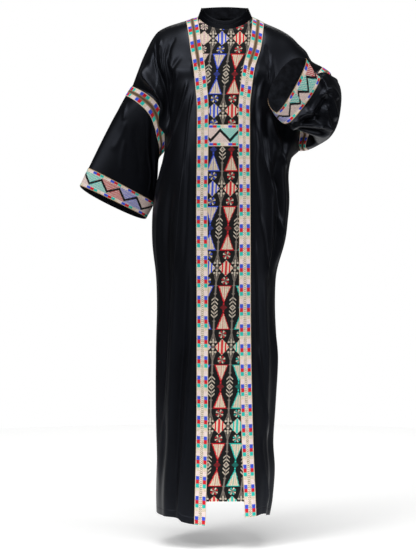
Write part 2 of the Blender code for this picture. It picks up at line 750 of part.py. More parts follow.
def main():
    clear_scene()
    looks = {
        "velvet": material("black_velvet", (0.006, 0.006, 0.008), 0.75),
        "embroidery": material("embroidered_panel", (0.22, 0.17, 0.14), 0.85),
        "trim": material("woven_trim", (0.62, 0.50, 0.40), 0.85),
        "band": material("zigzag_band", (0.40, 0.42, 0.38), 0.85),
    }
    side_gap = np.array([SEAM_GAP / 2, 0, 0])
    seam_gap = np.array([0, SEAM_GAP / 2, 0])
    back, back_fold = back_grid()
    back_out = outward(back, closed=False)
    back = back + back_out * back_fold[..., None]
    back_out = outward(back, closed=False)
    fronts = {}
    for side in (RIGHT, LEFT):
        grid, fold = front_grid(side)
        out = outward(grid, closed=False) * -side
        grid = grid + out * fold[..., None]
        fronts[side] = (grid, outward(grid, closed=False) * -side)
    hole = ARMHOLE_STEPS + 1
    back_wall = back_out.copy()
    front_walls = {}
    for side in (RIGHT, LEFT):
        grid, out = fronts[side]
        column = 0 if side == RIGHT else -1
        front_side = out[:hole, -1]
        back_side = back_out[:hole, column]
        around = np.concatenate([front_side[:-1], back_side[:0:-1]])
        shared = make_sleeve(side, around, looks)
        thickness = out.copy()
        thickness[:hole, -1] = shared[:hole]
        thickness[hole:, -1] = flatten(out[hole:, -1], 1)
        thickness[0, :-1] = flatten(out[0, :-1], 1)
        front_walls[side] = thickness[:, 0]
        back_wall[0:hole, column] = np.concatenate([shared[:1], shared[:ARMHOLE_STEPS - 1:-1]])
        back_wall[hole:, column] = flatten(back_out[hole:, column], 1)
        outer = grid.copy()
        inner = grid - thickness * VELVET
        for layer in (outer, inner):
            layer[0] -= seam_gap
            layer[hole - 1:, -1] -= seam_gap
        for layer in (outer, inner):
            layer[:, 0] += side_gap * side
        name = SIDES[side]["name"]
        wall_in_two("front_" + name, outer, inner, False, BODY_PARTING_ROW, looks["velvet"])
        trim_grid = outer[:, :3]
        trim_out = thickness[:, :3].copy()
        outer, inner = patch_on(trim_grid, trim_out, LAY_GAP, LAY_GAP + WOVEN_TRIM)
        wall("trim_" + name, outer, inner, False, looks["trim"])
    for line in (slice(None, 1 - NECK_STEPS - BACK_STEPS), slice(NECK_STEPS + BACK_STEPS, None)):
        back_wall[0, line] = flatten(back_wall[0, line], 1)
    outer = back.copy()
    inner = back - back_wall * VELVET
    for layer in (outer, inner):
        layer[0] += seam_gap
        layer[hole - 1:, 0] += seam_gap
        layer[hole - 1:, -1] += seam_gap
    wall_in_two("back", outer, inner, False, BODY_PARTING_ROW, looks["velvet"])
    right_edge = fronts[RIGHT][0][:, 0]
    left_edge = fronts[LEFT][0][:, 0]
    grid = centre_grid(right_edge, left_edge)
    out = -outward(grid, closed=False)
    for side, column in ((RIGHT, 0), (LEFT, -1)):
        out[:, column] = front_walls[side][:len(out)]
    inner = grid - out * VELVET
    for layer in (grid, inner):
        layer[:, 0] += side_gap
        layer[:, -1] -= side_gap
    wall("centre_panel", grid, inner, False, looks["embroidery"])
    make_waist_band(right_edge, left_edge, looks)
    make_collar(looks)


main()
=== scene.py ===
"""Looks of a worn bisht: black velvet, cross-stitched centre panel, woven trims and bands.

Metres, +Z up, front facing -Y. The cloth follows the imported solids: each piece is a fine
grid of points on the outer face of its solid, thickened inwards.
"""

import bmesh
import bpy
import mathutils
import numpy as np
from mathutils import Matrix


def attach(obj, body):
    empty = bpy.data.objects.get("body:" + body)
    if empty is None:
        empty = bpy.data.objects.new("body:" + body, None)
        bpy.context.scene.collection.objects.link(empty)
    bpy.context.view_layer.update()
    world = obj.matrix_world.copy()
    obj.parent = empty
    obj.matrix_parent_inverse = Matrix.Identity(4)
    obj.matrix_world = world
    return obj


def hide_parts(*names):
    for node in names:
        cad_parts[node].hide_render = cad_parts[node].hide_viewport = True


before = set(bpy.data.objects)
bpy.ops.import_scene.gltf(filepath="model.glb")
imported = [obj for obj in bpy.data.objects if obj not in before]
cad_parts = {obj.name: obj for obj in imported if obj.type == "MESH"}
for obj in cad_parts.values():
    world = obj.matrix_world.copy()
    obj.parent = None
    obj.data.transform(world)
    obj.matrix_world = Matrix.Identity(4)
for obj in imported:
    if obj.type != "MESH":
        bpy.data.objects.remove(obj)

bl_info = {
    "name": "Bisht",
    "version": (1, 0),
    "blender": (4, 5, 0),
    "location": "3D View > Sidebar > Bisht",
    "description": "Velvet bisht with a cross-stitched panel, woven trims and patterned bands",
    "category": "Object",
}

# Sizes shared with the solids
LAY_GAP = 0.0004
TRIM_WIDTH = 0.032
CUFF_BAND_WIDTH = 0.055
ARM_BAND_START = 0.005
SLEEVE_LENGTH = 0.295
COLLAR_HEIGHT_FRONT = 0.024
COLLAR_HEIGHT_BACK = 0.026
COLLAR_LEAN = 0.010
COLLAR_INSET = 0.0012
COLLAR_RISE = 0.0015
COLLAR_TUCK = 0.2
COLLAR_WAVE = 0.0006
COLLAR_WAVES = 5
WAIST_BAND_DROPS = (0.3094, 0.3698)
BAND_END = 0.005
UNDERARM_DROP = 0.374
CENTRE_PANEL_DROP = 1.354
NECK_BACK = (0.055, 0.016)
NECK_FRONT = (-0.068, -0.036)
SECTION_SQUARENESS = 2.4
MIDDLE_STARTS = 0.1
MIDDLE_LENGTH = 0.4
SLEEVE_SQUARENESS = 2.3

# How a section turns into the armhole and the neckline, and how folds and the panel's sag
# run out: shares of the way across or down, powers and, for the sag and sleeve, lengths
FOLD_FADE = 0.12
FOLD_RUN_OUT = 0.25
FOLD_END = 0.5
LINE_FADE = 0.22
ROUNDING_WAY = 0.3
BACK_ROUNDING_WAY = 0.6
TURNING_WAY = 0.55
NECK_POWER = 7
LINE_POWER = 2
NECK_CURVE = 1.5
SAG_LENGTH = 0.11
SAG_POWERS = (2.0, 4.0, 1.5)
SLEEVE_BLEND = 0.12
ARMHOLE_SPACING = 1.2

# Numbers of steps in the fine grids, the size of a stitch and the finish of the cloth
ARMHOLE_ROWS = 96
BODY_ROWS = 250
TRIM_COLUMNS = 16
PANEL_COLUMNS = 92
BACK_COLUMNS = 52
SOFTEN_ROWS = 14
SOFTEN_SEAM = 0.8
NECK_COLUMNS = 16
SLEEVE_ROWS = 98
COLLAR_COLUMNS = 150
COLLAR_ROWS = 14
PANEL_STEPS = 60
PANEL_REACH = 80
WAIST_COLUMNS = 47
WAIST_WIDTH = 60.0
STITCH = 0.002
MM = 1000
WELD_DISTANCE = 2e-5
SMOOTH_ANGLE = 50
SHADE_SPREAD = 0.06
SHADE_LIMITS = (0.8, 1.2)

# Studio; each light has its name, place, aim, size and power
FLOOR_LEVEL = -1.487
WORLD_STRENGTH = 0.06
AMBIENT_COLOUR = (0.93, 0.95, 1.0, 1)
SUN_STRENGTH = 2.0
SUN_TURN = (22, 0, -12)
SUN_WIDTH = 40
FLOOR_RADIUS = 2.4
FLOOR_EDGES = 96
FLOOR_MIDDLE = (0, 1.6)
FLOOR_GLOW = 0.3
CAMERA_PLACE = (-0.047, -5.0, -0.734)
CAMERA_LENS = 113.8
LIGHTS = (
    ("key", (-2.4, -3.4, 1.7), (0, 0, -0.5), 1.4, 60.0),
    ("fill", (3.4, -2.4, 0.8), (0, 0, -0.6), 1.4, 36.0),
    ("rim", (0.0, 3.6, 1.4), (0, 0, -0.6), 2.0, 16.0),
)

RIGHT = -1
LEFT = 1
BOTH = (RIGHT, LEFT)
SIDES = {RIGHT: {"name": "right"}, LEFT: {"name": "left"}}


def table(names, numbers):
    """A table with named columns, each of them an array."""
    names = names.split()
    return dict(zip(names, np.array(numbers.split(), float).reshape(-1, len(names)).T))


# Reach to the side seams and depth of the robe, a row for each level below the underarm
BODY = table("drop right left front back", """
0.374 0.170 0.212 0.132 0.104
0.400 0.176 0.187 0.131 0.102
0.450 0.186 0.182 0.129 0.098
0.516 0.202 0.186 0.126 0.094
0.570 0.206 0.180 0.125 0.098
0.620 0.206 0.175 0.126 0.106
0.680 0.201 0.157 0.128 0.112
0.720 0.195 0.146 0.130 0.114
0.820 0.192 0.143 0.134 0.117
0.960 0.195 0.149 0.138 0.121
1.090 0.194 0.142 0.141 0.125
1.210 0.191 0.133 0.143 0.128
1.260 0.193 0.140 0.144 0.129
1.345 0.195 0.134 0.146 0.131
1.425 0.193 0.123 0.147 0.132
""")

# Front edges of the robe, where the centre panel begins, and how far forward they lie
EDGE = table("drop right left front", """
-0.008 0.0765 0.0790 0.000
0.004 0.0755 0.0785 0.030
0.020 0.0730 0.0770 0.054
0.045 0.0695 0.0745 0.073
0.080 0.0650 0.0695 0.089
0.140 0.0560 0.0520 0.106
0.200 0.0495 0.0430 0.118
0.260 0.0455 0.0375 0.126
0.374 0.0460 0.0375 0.132
0.530 0.0480 0.0390 0.126
0.830 0.0465 0.0395 0.134
1.110 0.0470 0.0440 0.141
1.425 0.0535 0.0555 0.147
""")

# The middle of the back, from the neckline down to the underarm
BACK_MIDDLE = table("drop back", """
-0.016 0.055
0.010 0.074
0.050 0.089
0.110 0.103
0.190 0.110
0.280 0.109
0.374 0.104
""")

# Shoulder lines from the neck point out to the top of the armhole
SIDES[RIGHT]["shoulder"] = table("reach drop", """
0.0765 -0.008
0.112 0.003
0.161 0.0185
0.187 0.032
0.200 0.046
0.230 0.104
0.247 0.147
0.261 0.185
""")
SIDES[LEFT]["shoulder"] = table("reach drop", """
0.0790 -0.008
0.112 0.008
0.158 0.028
0.190 0.048
0.212 0.070
0.234 0.092
0.248 0.117
0.275 0.132
""")

# Armholes: front and back halves from the top down to the underarm
SIDES[RIGHT]["armhole_front"] = table("way reach y drop", """
0.00 0.261 0.000 0.185
0.15 0.238 -0.032 0.198
0.29 0.212 -0.050 0.215
0.42 0.188 -0.057 0.238
0.55 0.174 -0.051 0.270
0.69 0.170 -0.042 0.304
0.85 0.167 -0.028 0.339
1.00 0.170 -0.006 0.374
""")
SIDES[RIGHT]["armhole_back"] = table("way reach y drop", """
0.00 0.261 0.000 0.185
0.16 0.250 0.034 0.206
0.33 0.235 0.053 0.237
0.50 0.216 0.057 0.271
0.67 0.197 0.047 0.306
0.84 0.180 0.024 0.343
1.00 0.170 -0.006 0.374
""")
SIDES[LEFT]["armhole_front"] = table("way reach y drop", """
0.00 0.275 0.000 0.132
0.12 0.264 -0.028 0.147
0.27 0.246 -0.044 0.181
0.43 0.231 -0.050 0.223
0.59 0.219 -0.048 0.268
0.75 0.211 -0.040 0.313
0.89 0.208 -0.025 0.350
1.00 0.212 -0.006 0.374
""")
SIDES[LEFT]["armhole_back"] = table("way reach y drop", """
0.00 0.275 0.000 0.132
0.13 0.270 0.030 0.152
0.29 0.262 0.047 0.192
0.46 0.251 0.052 0.237
0.63 0.238 0.046 0.284
0.80 0.224 0.028 0.332
1.00 0.212 -0.006 0.374
""")

# Sleeves: a ring for each row, from the armhole to the mouth. Each ring runs from its top to
# its bottom point; inner is its half thickness on the side that faces front at the armhole,
# outer on the other side; yaw turns the inner side about the ring's length, lift tips it up.
SLEEVE_NAMES = "along top_reach top_y top_drop low_reach low_y low_drop inner outer yaw lift"
SIDES[RIGHT]["sleeve"] = table(SLEEVE_NAMES, """
0.000 0.261 0.000 0.185 0.170 -0.006 0.374 0.052 0.056 0 0
0.035 0.281 0.001 0.214 0.187 0.002 0.396 0.046 0.052 0 0
0.130 0.327 0.006 0.300 0.191 0.026 0.446 0.040 0.046 0 2
0.240 0.388 0.008 0.422 0.203 0.026 0.519 0.032 0.036 0 5
0.295 0.412 0.006 0.474 0.225 0.022 0.564 0.028 0.034 0 6
""")
SIDES[LEFT]["sleeve"] = table(SLEEVE_NAMES, """
0.000 0.275 0.000 0.132 0.212 -0.006 0.374 0.045 0.050 0 0
0.035 0.301 -0.008 0.154 0.237 -0.016 0.371 0.044 0.050 14 0
0.090 0.305 -0.035 0.172 0.268 -0.048 0.356 0.044 0.046 50 0
0.150 0.284 -0.105 0.172 0.270 -0.115 0.349 0.044 0.044 92 0
0.200 0.272 -0.150 0.166 0.215 -0.160 0.332 0.045 0.035 118 6
0.240 0.256 -0.172 0.180 0.163 -0.172 0.310 0.055 0.022 130 16
0.295 0.2185 -0.190 0.133 0.139 -0.186 0.279 0.062 0.016 135 20
""")

# Hems: drop of each panel's lower edge across it, from its inner edge to its side seam
SIDES[RIGHT]["front_hem"] = table("across drop", "0 1.421  0.28 1.412  0.36 1.402  1 1.397")
SIDES[LEFT]["front_hem"] = table("across drop", "0 1.398  0.35 1.391  0.6 1.401  1 1.404")
SIDES[RIGHT]["back_hem"] = table("across drop", "0 1.374  0.6 1.382  1 1.397")
SIDES[LEFT]["back_hem"] = table("across drop", "0 1.374  0.6 1.386  1 1.404")

# Largest folds of each panel: where a fold starts and ends, across the panel and down it,
# how high its ridge stands (a trough is negative) and how wide it is
FOLD_NAMES = "start_across end_across start_drop end_drop height width"
SIDES[RIGHT]["front_folds"] = table(FOLD_NAMES, """
0.86 0.88 0.140 0.320 0.022 0.075
0.62 0.72 0.080 0.300 -0.008 0.060
0.36 0.55 0.070 0.200 -0.005 0.060
0.30 0.55 0.480 1.420 0.007 0.070
0.44 0.68 0.520 1.300 -0.006 0.060
0.66 0.82 0.560 1.250 0.006 0.070
0.22 0.40 0.700 1.420 -0.005 0.050
""")
SIDES[LEFT]["front_folds"] = table(FOLD_NAMES, """
0.34 0.46 0.400 0.720 0.007 0.060
0.46 0.58 0.420 0.720 -0.007 0.060
0.56 0.70 0.360 0.690 0.008 0.070
0.62 0.50 0.200 0.420 -0.006 0.080
0.44 0.52 0.760 1.420 0.006 0.070
0.62 0.74 0.800 1.420 -0.006 0.070
0.80 0.84 0.900 1.420 0.006 0.060
""")
SIDES[RIGHT]["back_folds"] = table(FOLD_NAMES, """
0.16 0.20 0.300 1.420 0.008 0.060
0.32 0.38 0.260 1.420 -0.009 0.060
0.50 0.56 0.300 1.420 0.010 0.070
0.70 0.74 0.420 1.420 -0.008 0.060
0.60 0.66 0.060 0.240 -0.006 0.080
""")
SIDES[LEFT]["back_folds"] = table(FOLD_NAMES, """
0.14 0.16 0.340 1.420 -0.008 0.060
0.30 0.34 0.280 1.420 0.010 0.070
0.48 0.54 0.320 1.420 -0.009 0.060
0.66 0.72 0.380 1.420 0.008 0.060
0.58 0.52 0.080 0.280 -0.006 0.080
""")


def follow(rows, key, name, at):
    """Value of a table's column at places along its key column, on a smooth curve."""
    keys = rows[key]
    values = rows[name]
    at = np.clip(np.asarray(at, float), keys[0], keys[-1])
    steps = np.diff(keys)
    rises = np.diff(values) / steps
    before = rises[:-1]
    after = rises[1:]
    same_way = before * after > 0
    total = np.where(same_way, before + after, 1.0)
    inner_slopes = np.where(same_way, 2 * before * after / total, 0.0)
    slopes = np.concatenate([rises[:1], inner_slopes, rises[-1:]])
    low = np.clip(np.searchsorted(keys, at, side="right") - 1, 0, len(steps) - 1)
    t = (at - keys[low]) / steps[low]
    return (
        (2 * t**3 - 3 * t**2 + 1) * values[low]
        + (t**3 - 2 * t**2 + t) * steps[low] * slopes[low]
        + (3 * t**2 - 2 * t**3) * values[low + 1]
        + (t**3 - t**2) * steps[low] * slopes[low + 1]
    )


def ease(x):
    """A smooth step from 0 to 1."""
    x = np.clip(x, 0.0, 1.0)
    return x * x * (3 - 2 * x)


def points(x, y, z):
    """Points from their coordinates, which may be numbers or arrays."""
    return np.stack(np.broadcast_arrays(x, y, z), axis=-1)


def neckline(turn):
    """A point of the neckline; turn is 0 at the back, 90 at the left shoulder and so on."""
    angle = np.radians(turn)
    sideways = np.sin(angle)
    behind = np.cos(angle)
    right = SIDES[RIGHT]["shoulder"]
    left = SIDES[LEFT]["shoulder"]
    reach = np.where(sideways > 0, left["reach"][0], right["reach"][0])
    side_z = -right["drop"][0]
    y = np.where(behind > 0, NECK_BACK[0], -NECK_FRONT[0]) * behind
    z = side_z + np.where(behind > 0, NECK_BACK[1] - side_z, NECK_FRONT[1] - side_z) * (
        np.abs(behind) ** NECK_CURVE
    )
    return points(reach * sideways, y, z)


# Small creases between the large folds: where each starts and ends, over the cloth and down
# it, how high its ridge stands (a trough is negative), how wide it is and how far it bows
CREASE_NAMES = "start_over start_down end_over end_down height width bend"
SLEEVE_SPAN = 0.52
CLOTH_UNEVEN = 0.0006
CREASE_FADE = 0.07
CREASE_RUN_OUT = 0.22
CREASE_END = 0.3
TRIM_FADE = 0.03
SLEEVE_FADE = 0.02
MOUTH_DIP = {RIGHT: 0.009, LEFT: 0.0}
MOUTH_DIP_LENGTH = 0.08
SEEN_STRENGTH = 1.5
SEEN_FROM = 0.2
SEEN_GROW = 2.2
SHARP_WIDTH = 2.3
CUFF_BAND_INSET = 0.0015

# Unevenness of the cloth: the width that a panel's places across stand for (for a sleeve,
# half its depth), the seed and the length of the waves
RELIEF = {"front": (0.27, 11, 0.16), "back": (0.30, 21, 0.18), "sleeve": (0.08, 31, 0.09)}
UNEVEN_WAVES = 6
UNEVEN_TURN = 0.5
UNEVEN_LENGTHS = (0.5, 1.6)

SIDES[RIGHT]["front_creases"] = table(CREASE_NAMES, """
0.174 0.052 0.254 0.232 0.0022 0.0045 -0.035
0.141 0.064 0.161 0.162 0.0026 0.0050 -0.014
0.102 0.073 0.206 0.291 0.0024 0.0055 -0.002
0.060 0.116 0.179 0.297 -0.0028 0.0065 0.025
0.074 0.061 0.104 0.120 -0.0014 0.0055 0.005
0.090 0.165 0.157 0.278 0.0018 0.0045 0.003
0.060 0.189 0.168 0.354 0.0026 0.0050 -0.004
0.168 0.354 0.209 0.517 0.0050 0.0120 0.018
0.045 0.217 0.080 0.420 0.0016 0.0042 0.011
0.080 0.420 0.122 0.797 0.0016 0.0050 -0.019
0.127 0.797 0.193 1.206 0.0022 0.0080 -0.015
0.066 0.378 0.066 0.698 0.0012 0.0050 -0.012
0.044 0.878 0.090 1.395 0.0020 0.0045 -0.001
0.066 0.881 0.111 1.352 -0.0030 0.0120 0.004
0.118 0.150 0.024 0.153 0.0032 0.0210 0.003
""")
SIDES[LEFT]["front_creases"] = table(CREASE_NAMES, """
0.033 0.085 0.067 0.193 -0.0022 0.0045 0.002
0.050 0.111 0.078 0.175 0.0014 0.0040 0.002
0.050 0.177 0.045 0.235 0.0014 0.0045 -0.003
0.033 0.190 0.040 0.324 -0.0020 0.0060 -0.002
0.034 0.297 0.062 0.561 0.0018 0.0045 -0.001
0.062 0.561 0.161 0.768 0.0018 0.0045 -0.009
0.050 0.261 0.105 0.468 0.0022 0.0055 -0.018
0.105 0.464 0.183 0.617 0.0036 0.0090 -0.011
0.067 0.273 0.143 0.489 -0.0024 0.0070 -0.019
0.079 0.279 0.199 0.436 0.0040 0.0080 -0.021
0.047 0.631 0.072 0.920 0.0014 0.0045 0.012
0.077 0.936 0.171 1.187 0.0024 0.0100 -0.017
0.110 1.159 0.160 1.369 0.0020 0.0100 -0.024
0.020 0.160 0.062 0.160 0.0024 0.0180 -0.004
""")
SIDES[RIGHT]["back_creases"] = table(CREASE_NAMES, """
0.090 0.080 0.132 0.300 0.0024 0.0060 0.009
0.200 0.110 0.150 0.290 0.0022 0.0055 -0.008
0.240 0.260 0.210 0.440 0.0028 0.0065 -0.009
0.078 0.520 0.072 1.100 0.0020 0.0055 0.006
0.132 0.700 0.138 1.380 -0.0026 0.0080 -0.006
0.246 0.560 0.252 1.200 0.0024 0.0070 0.006
0.036 0.800 0.030 1.370 0.0018 0.0055 0.003
0.170 0.900 0.190 1.390 0.0020 0.0060 0.008
""")
SIDES[LEFT]["back_creases"] = table(CREASE_NAMES, """
0.066 0.120 0.108 0.360 0.0024 0.0060 -0.009
0.180 0.090 0.130 0.280 0.0022 0.0055 0.008
0.234 0.220 0.186 0.400 0.0030 0.0070 0.009
0.066 0.600 0.072 1.380 0.0018 0.0055 0.006
0.120 0.560 0.114 1.100 -0.0026 0.0080 0.006
0.228 0.640 0.240 1.380 -0.0024 0.0070 -0.006
0.264 0.520 0.270 0.980 0.0020 0.0060 0.003
0.160 0.820 0.176 1.390 0.0020 0.0060 -0.008
""")
SIDES[RIGHT]["sleeve_creases"] = table(CREASE_NAMES, """
0.080 0.088 0.083 0.175 0.0010 0.0090 0.007
0.113 0.056 0.163 0.144 0.0010 0.0080 0.015
0.108 0.036 0.206 0.227 0.0016 0.0035 0.032
0.116 0.028 0.222 0.199 -0.0030 0.0070 0.030
0.030 0.052 0.072 0.092 0.0010 0.0060 -0.001
0.105 0.128 0.125 0.207 0.0010 0.0060 -0.002
0.108 0.076 0.163 0.199 -0.0012 0.0080 0.009
0.400 0.040 0.380 0.240 0.0020 0.0080 0.010
0.450 0.060 0.440 0.270 -0.0020 0.0080 -0.008
0.350 0.050 0.310 0.200 -0.0018 0.0070 0.006
0.490 0.090 0.500 0.230 0.0012 0.0070 0.004
""")
SIDES[LEFT]["sleeve_creases"] = table(CREASE_NAMES, """
0.104 0.060 0.156 0.200 0.0020 0.0080 0.008
0.060 0.090 0.070 0.230 -0.0018 0.0080 0.006
0.480 0.060 0.500 0.180 0.0020 0.0080 0.004
""")

# Creases that fan out from the elbow of the raised sleeve, placed across and up the front
SIDES[LEFT]["seen_creases"] = table(CREASE_NAMES, """
0.280 -0.215 0.233 -0.292 0.0050 0.0050 0.001
0.283 -0.209 0.313 -0.240 0.0048 0.0060 -0.004
0.283 -0.226 0.308 -0.298 0.0048 0.0050 -0.003
0.277 -0.259 0.291 -0.323 0.0042 0.0045 0.004
0.260 -0.295 0.294 -0.325 0.0034 0.0045 0.001
0.175 -0.320 0.294 -0.325 0.0050 0.0050 -0.007
0.175 -0.314 0.233 -0.273 0.0056 0.0070 0.002
0.183 -0.323 0.230 -0.370 0.0034 0.0045 0.002
0.222 -0.361 0.291 -0.328 0.0036 0.0050 0.008
0.202 -0.306 0.272 -0.300 -0.0063 0.0080 -0.001
0.197 -0.331 0.283 -0.334 -0.0070 0.0100 0.003
0.274 -0.234 0.249 -0.298 -0.0056 0.0080 0.002
0.263 -0.184 0.280 -0.215 0.0028 0.0050 -0.001
""")

# Pieces that are two nodes in the solids, and the thread colours
HALVED = ("back", "front_right", "front_left", "sleeve_left")
THREADS = (
    "black cream pale pink blue red teal dark_pink dark_blue dark_red dark_teal stem shade leaf "
    "edge beige beige_pale thread folded band_teal band_red lavender dusty dot"
).split()

# Zigzag bands: half the black line, where the border's blocks start, the first colours above
# and below the line, and, round a sleeve, where the pattern joins, its repeats and its start
WAIST_POINT = -0.013
WAIST = dict(line=5.0, blocks=0.52, upper=0, lower=-1)
CUFFS = {
    RIGHT: dict(line=4.0, blocks=0.54, upper=0, lower=-1, join=0.70, repeats=8.6, start=1.311),
    LEFT: dict(line=4.0, blocks=-0.2, upper=1, lower=1, join=0.765, repeats=8.88, start=6.307),
}

# Places down a panel from the shoulder to the underarm and the hem, and across a front
WAYS = np.linspace(0, 1, ARMHOLE_ROWS + 1) ** ARMHOLE_SPACING
ALL_WAYS = np.concatenate([WAYS, np.ones(BODY_ROWS)])[:, None]
TRIM_PLACES = np.linspace(0, 1, TRIM_COLUMNS + 1)
REST_PLACES = np.linspace(0, 1, PANEL_COLUMNS + 1)[1:]


def outward(grid, closed):
    """Unit normals of a grid of points."""
    down = np.gradient(grid, axis=0)
    if closed:
        wide = np.concatenate([grid[:, -1:], grid, grid[:, :1]], axis=1)
        over = (wide[:, 2:] - wide[:, :-2]) / 2
    else:
        over = np.gradient(grid, axis=1)
    cross = np.cross(over, down)
    return cross / np.maximum(np.linalg.norm(cross, axis=-1, keepdims=True), 1e-12)


def rows_of(columns):
    """The rows of a table, one at a time."""
    for values in zip(*columns.values()):
        yield dict(zip(columns, values))


def fold_height(folds, across, drop):
    """How far all the folds of a table move the cloth outwards."""
    height = 0.0
    for row in rows_of(folds):
        down = (drop - row["start_drop"]) / (row["end_drop"] - row["start_drop"])
        way = row["end_across"] - row["start_across"]
        centre = row["start_across"] + np.clip(down, 0, 1) * way
        profile = np.exp(-(((across - centre) / row["width"]) ** 2))
        grow = ease(down / FOLD_RUN_OUT + FOLD_END)
        fade = ease((1 - down) / FOLD_RUN_OUT + FOLD_END)
        height = height + row["height"] * profile * grow * fade
    return height


def crease_height(creases, over, down, sharp=False):
    """How far all the creases of a table move the cloth outwards; sharp ones have flat
    sides that meet in a line."""
    height = 0.0
    for row in rows_of(creases):
        way_over = row["end_over"] - row["start_over"]
        way_down = row["end_down"] - row["start_down"]
        length = np.hypot(way_over, way_down)
        past_over = over - row["start_over"]
        past_down = down - row["start_down"]
        along = (past_over * way_over + past_down * way_down) / length**2
        aside = (past_over * way_down - past_down * way_over) / length
        aside = aside - row["bend"] * np.sin(np.clip(along, 0, 1) * np.pi)
        ends = ease(along / CREASE_RUN_OUT + CREASE_END)
        ends = ends * ease((1 - along) / CREASE_RUN_OUT + CREASE_END)
        if sharp:
            profile = np.maximum(0, 1 - np.abs(aside) / (row["width"] * SHARP_WIDTH))
        else:
            profile = np.exp(-((aside / row["width"]) ** 2))
        height = height + row["height"] * profile * ends
    return height


def uneven(across, down, seed, size):
    """A gentle unevenness between about -1 and 1, from a few crossing waves."""
    random = np.random.default_rng(seed)
    total = 0.0
    for _ in range(UNEVEN_WAVES):
        turn = random.uniform(-UNEVEN_TURN, UNEVEN_TURN)
        length = size * random.uniform(*UNEVEN_LENGTHS)
        phase = random.uniform(0, 2 * np.pi)
        place = across * np.cos(turn) + down * np.sin(turn)
        total = total + np.sin(place * 2 * np.pi / length + phase)
    return total / (UNEVEN_WAVES / 2)


def edge_fade(across, from_line, from_seam):
    """Folds die away towards the shoulder line, the armhole and the side seam."""
    return ease(ALL_WAYS / from_line) * ease((1 - across) / from_seam)


def relief(side, which, across, drop, from_inner, inner_fade, crease):
    """How far the folds and creases of a panel move it outwards."""
    span, seed, size = RELIEF[which]
    height = fold_height(SIDES[side][which + "_folds"], across, drop) * ease(from_inner / FOLD_FADE)
    fine = crease_height(SIDES[side][which + "_creases"], across * span, drop)
    fine = fine + CLOTH_UNEVEN * uneven(across * span, drop, seed + side, size)
    fine = crease * fine * ease(from_inner / inner_fade)
    folded = height * edge_fade(across, LINE_FADE, FOLD_FADE)
    return folded + fine * edge_fade(across, CREASE_FADE, CREASE_FADE)


def front_inner_edge(side, drop):
    """The front edge of the robe, as x and y."""
    name = SIDES[side]["name"]
    return side * follow(EDGE, "drop", name, drop), -follow(EDGE, "drop", "front", drop)


def round_share(across):
    """Share of the reach at each turn of a quarter section."""
    return np.sin(across * np.pi / 2) ** (2 / SECTION_SQUARENESS)


def across_places(width):
    """Places across a front panel of this width, as turns of its quarter section and as
    even shares: the trim's columns and then the rest."""
    trim_share = TRIM_PLACES * TRIM_WIDTH / width
    trim = np.arcsin(trim_share ** (SECTION_SQUARENESS / 2)) * 2 / np.pi
    across = np.concatenate([trim, trim[:, -1:] + (1 - trim[:, -1:]) * REST_PLACES], axis=1)
    even = trim_share[:, -1:] + (1 - trim_share[:, -1:]) * REST_PLACES
    return across, np.concatenate([trim_share, even], axis=1)


def depth_share(share, ways):
    """How much of a section's depth is left at each share of its reach. At the armhole a
    section still heads outwards, at the underarm it turns round into the side seam."""
    heading_out = 1 - share**SECTION_SQUARENESS
    turning = np.clip(heading_out, 0, 1) ** (1 / SECTION_SQUARENESS)
    blend = ease((ways - TURNING_WAY) / (1 - TURNING_WAY))[:, None]
    return (1 - blend) * heading_out + blend * turning


def middle_x(drop):
    """The middle of the robe between its side seams."""
    right = follow(BODY, "drop", "right", drop)
    left = follow(BODY, "drop", "left", drop)
    return ease((drop - MIDDLE_STARTS) / MIDDLE_LENGTH) * (left - right) / 2


def armhole(side, half, ways):
    """Reach, y and drop of one half of an armhole."""
    rows = SIDES[side]["armhole_" + half]
    return [follow(rows, "way", name, ways) for name in ("reach", "y", "drop")]


def upper_drops(inner, hole, line, share):
    """Drops of a panel's upper part, from those of its inner edge, armhole and top line."""
    fade = ((1 - WAYS) ** LINE_POWER)[:, None]
    span = (hole - inner)[:, None] - (hole[0] - inner[0]) * fade
    return inner[:, None] + (line - inner[0]) * fade + span * share


def down_to_hem(side, which, upper, share, across):
    """A panel's points with the rows from the underarm down to the hem added, and its
    places across and drops."""
    first = upper[-1]
    down = np.linspace(0, 1, BODY_ROWS + 1)[1:, None]
    hem = follow(SIDES[side][which + "_hem"], "across", "drop", across[-1])
    drop = -first[:, 2] + (hem + first[:, 2]) * down
    reach = follow(BODY, "drop", SIDES[side]["name"], drop)
    if which == "front":
        inner_x, inner_y = front_inner_edge(side, drop)
        lower_across, _ = across_places((reach - side * inner_x)[:, :1])
        share = round_share(lower_across)
    else:
        inner_x = middle_x(drop)
        inner_y = follow(BODY, "drop", "back", drop)
        lower_across = np.broadcast_to(across[-1], drop.shape)
        share = np.broadcast_to(share[-1], drop.shape)
    x = inner_x + (side * reach - inner_x) * share
    y = first[-1, 1] + (inner_y - first[-1, 1]) * depth_share(share, np.ones(len(share)))
    grid = np.concatenate([upper, points(x, y, -drop)])
    across = np.concatenate([across, lower_across])
    return softened(grid, across), across, np.concatenate([-upper[..., 2], drop])


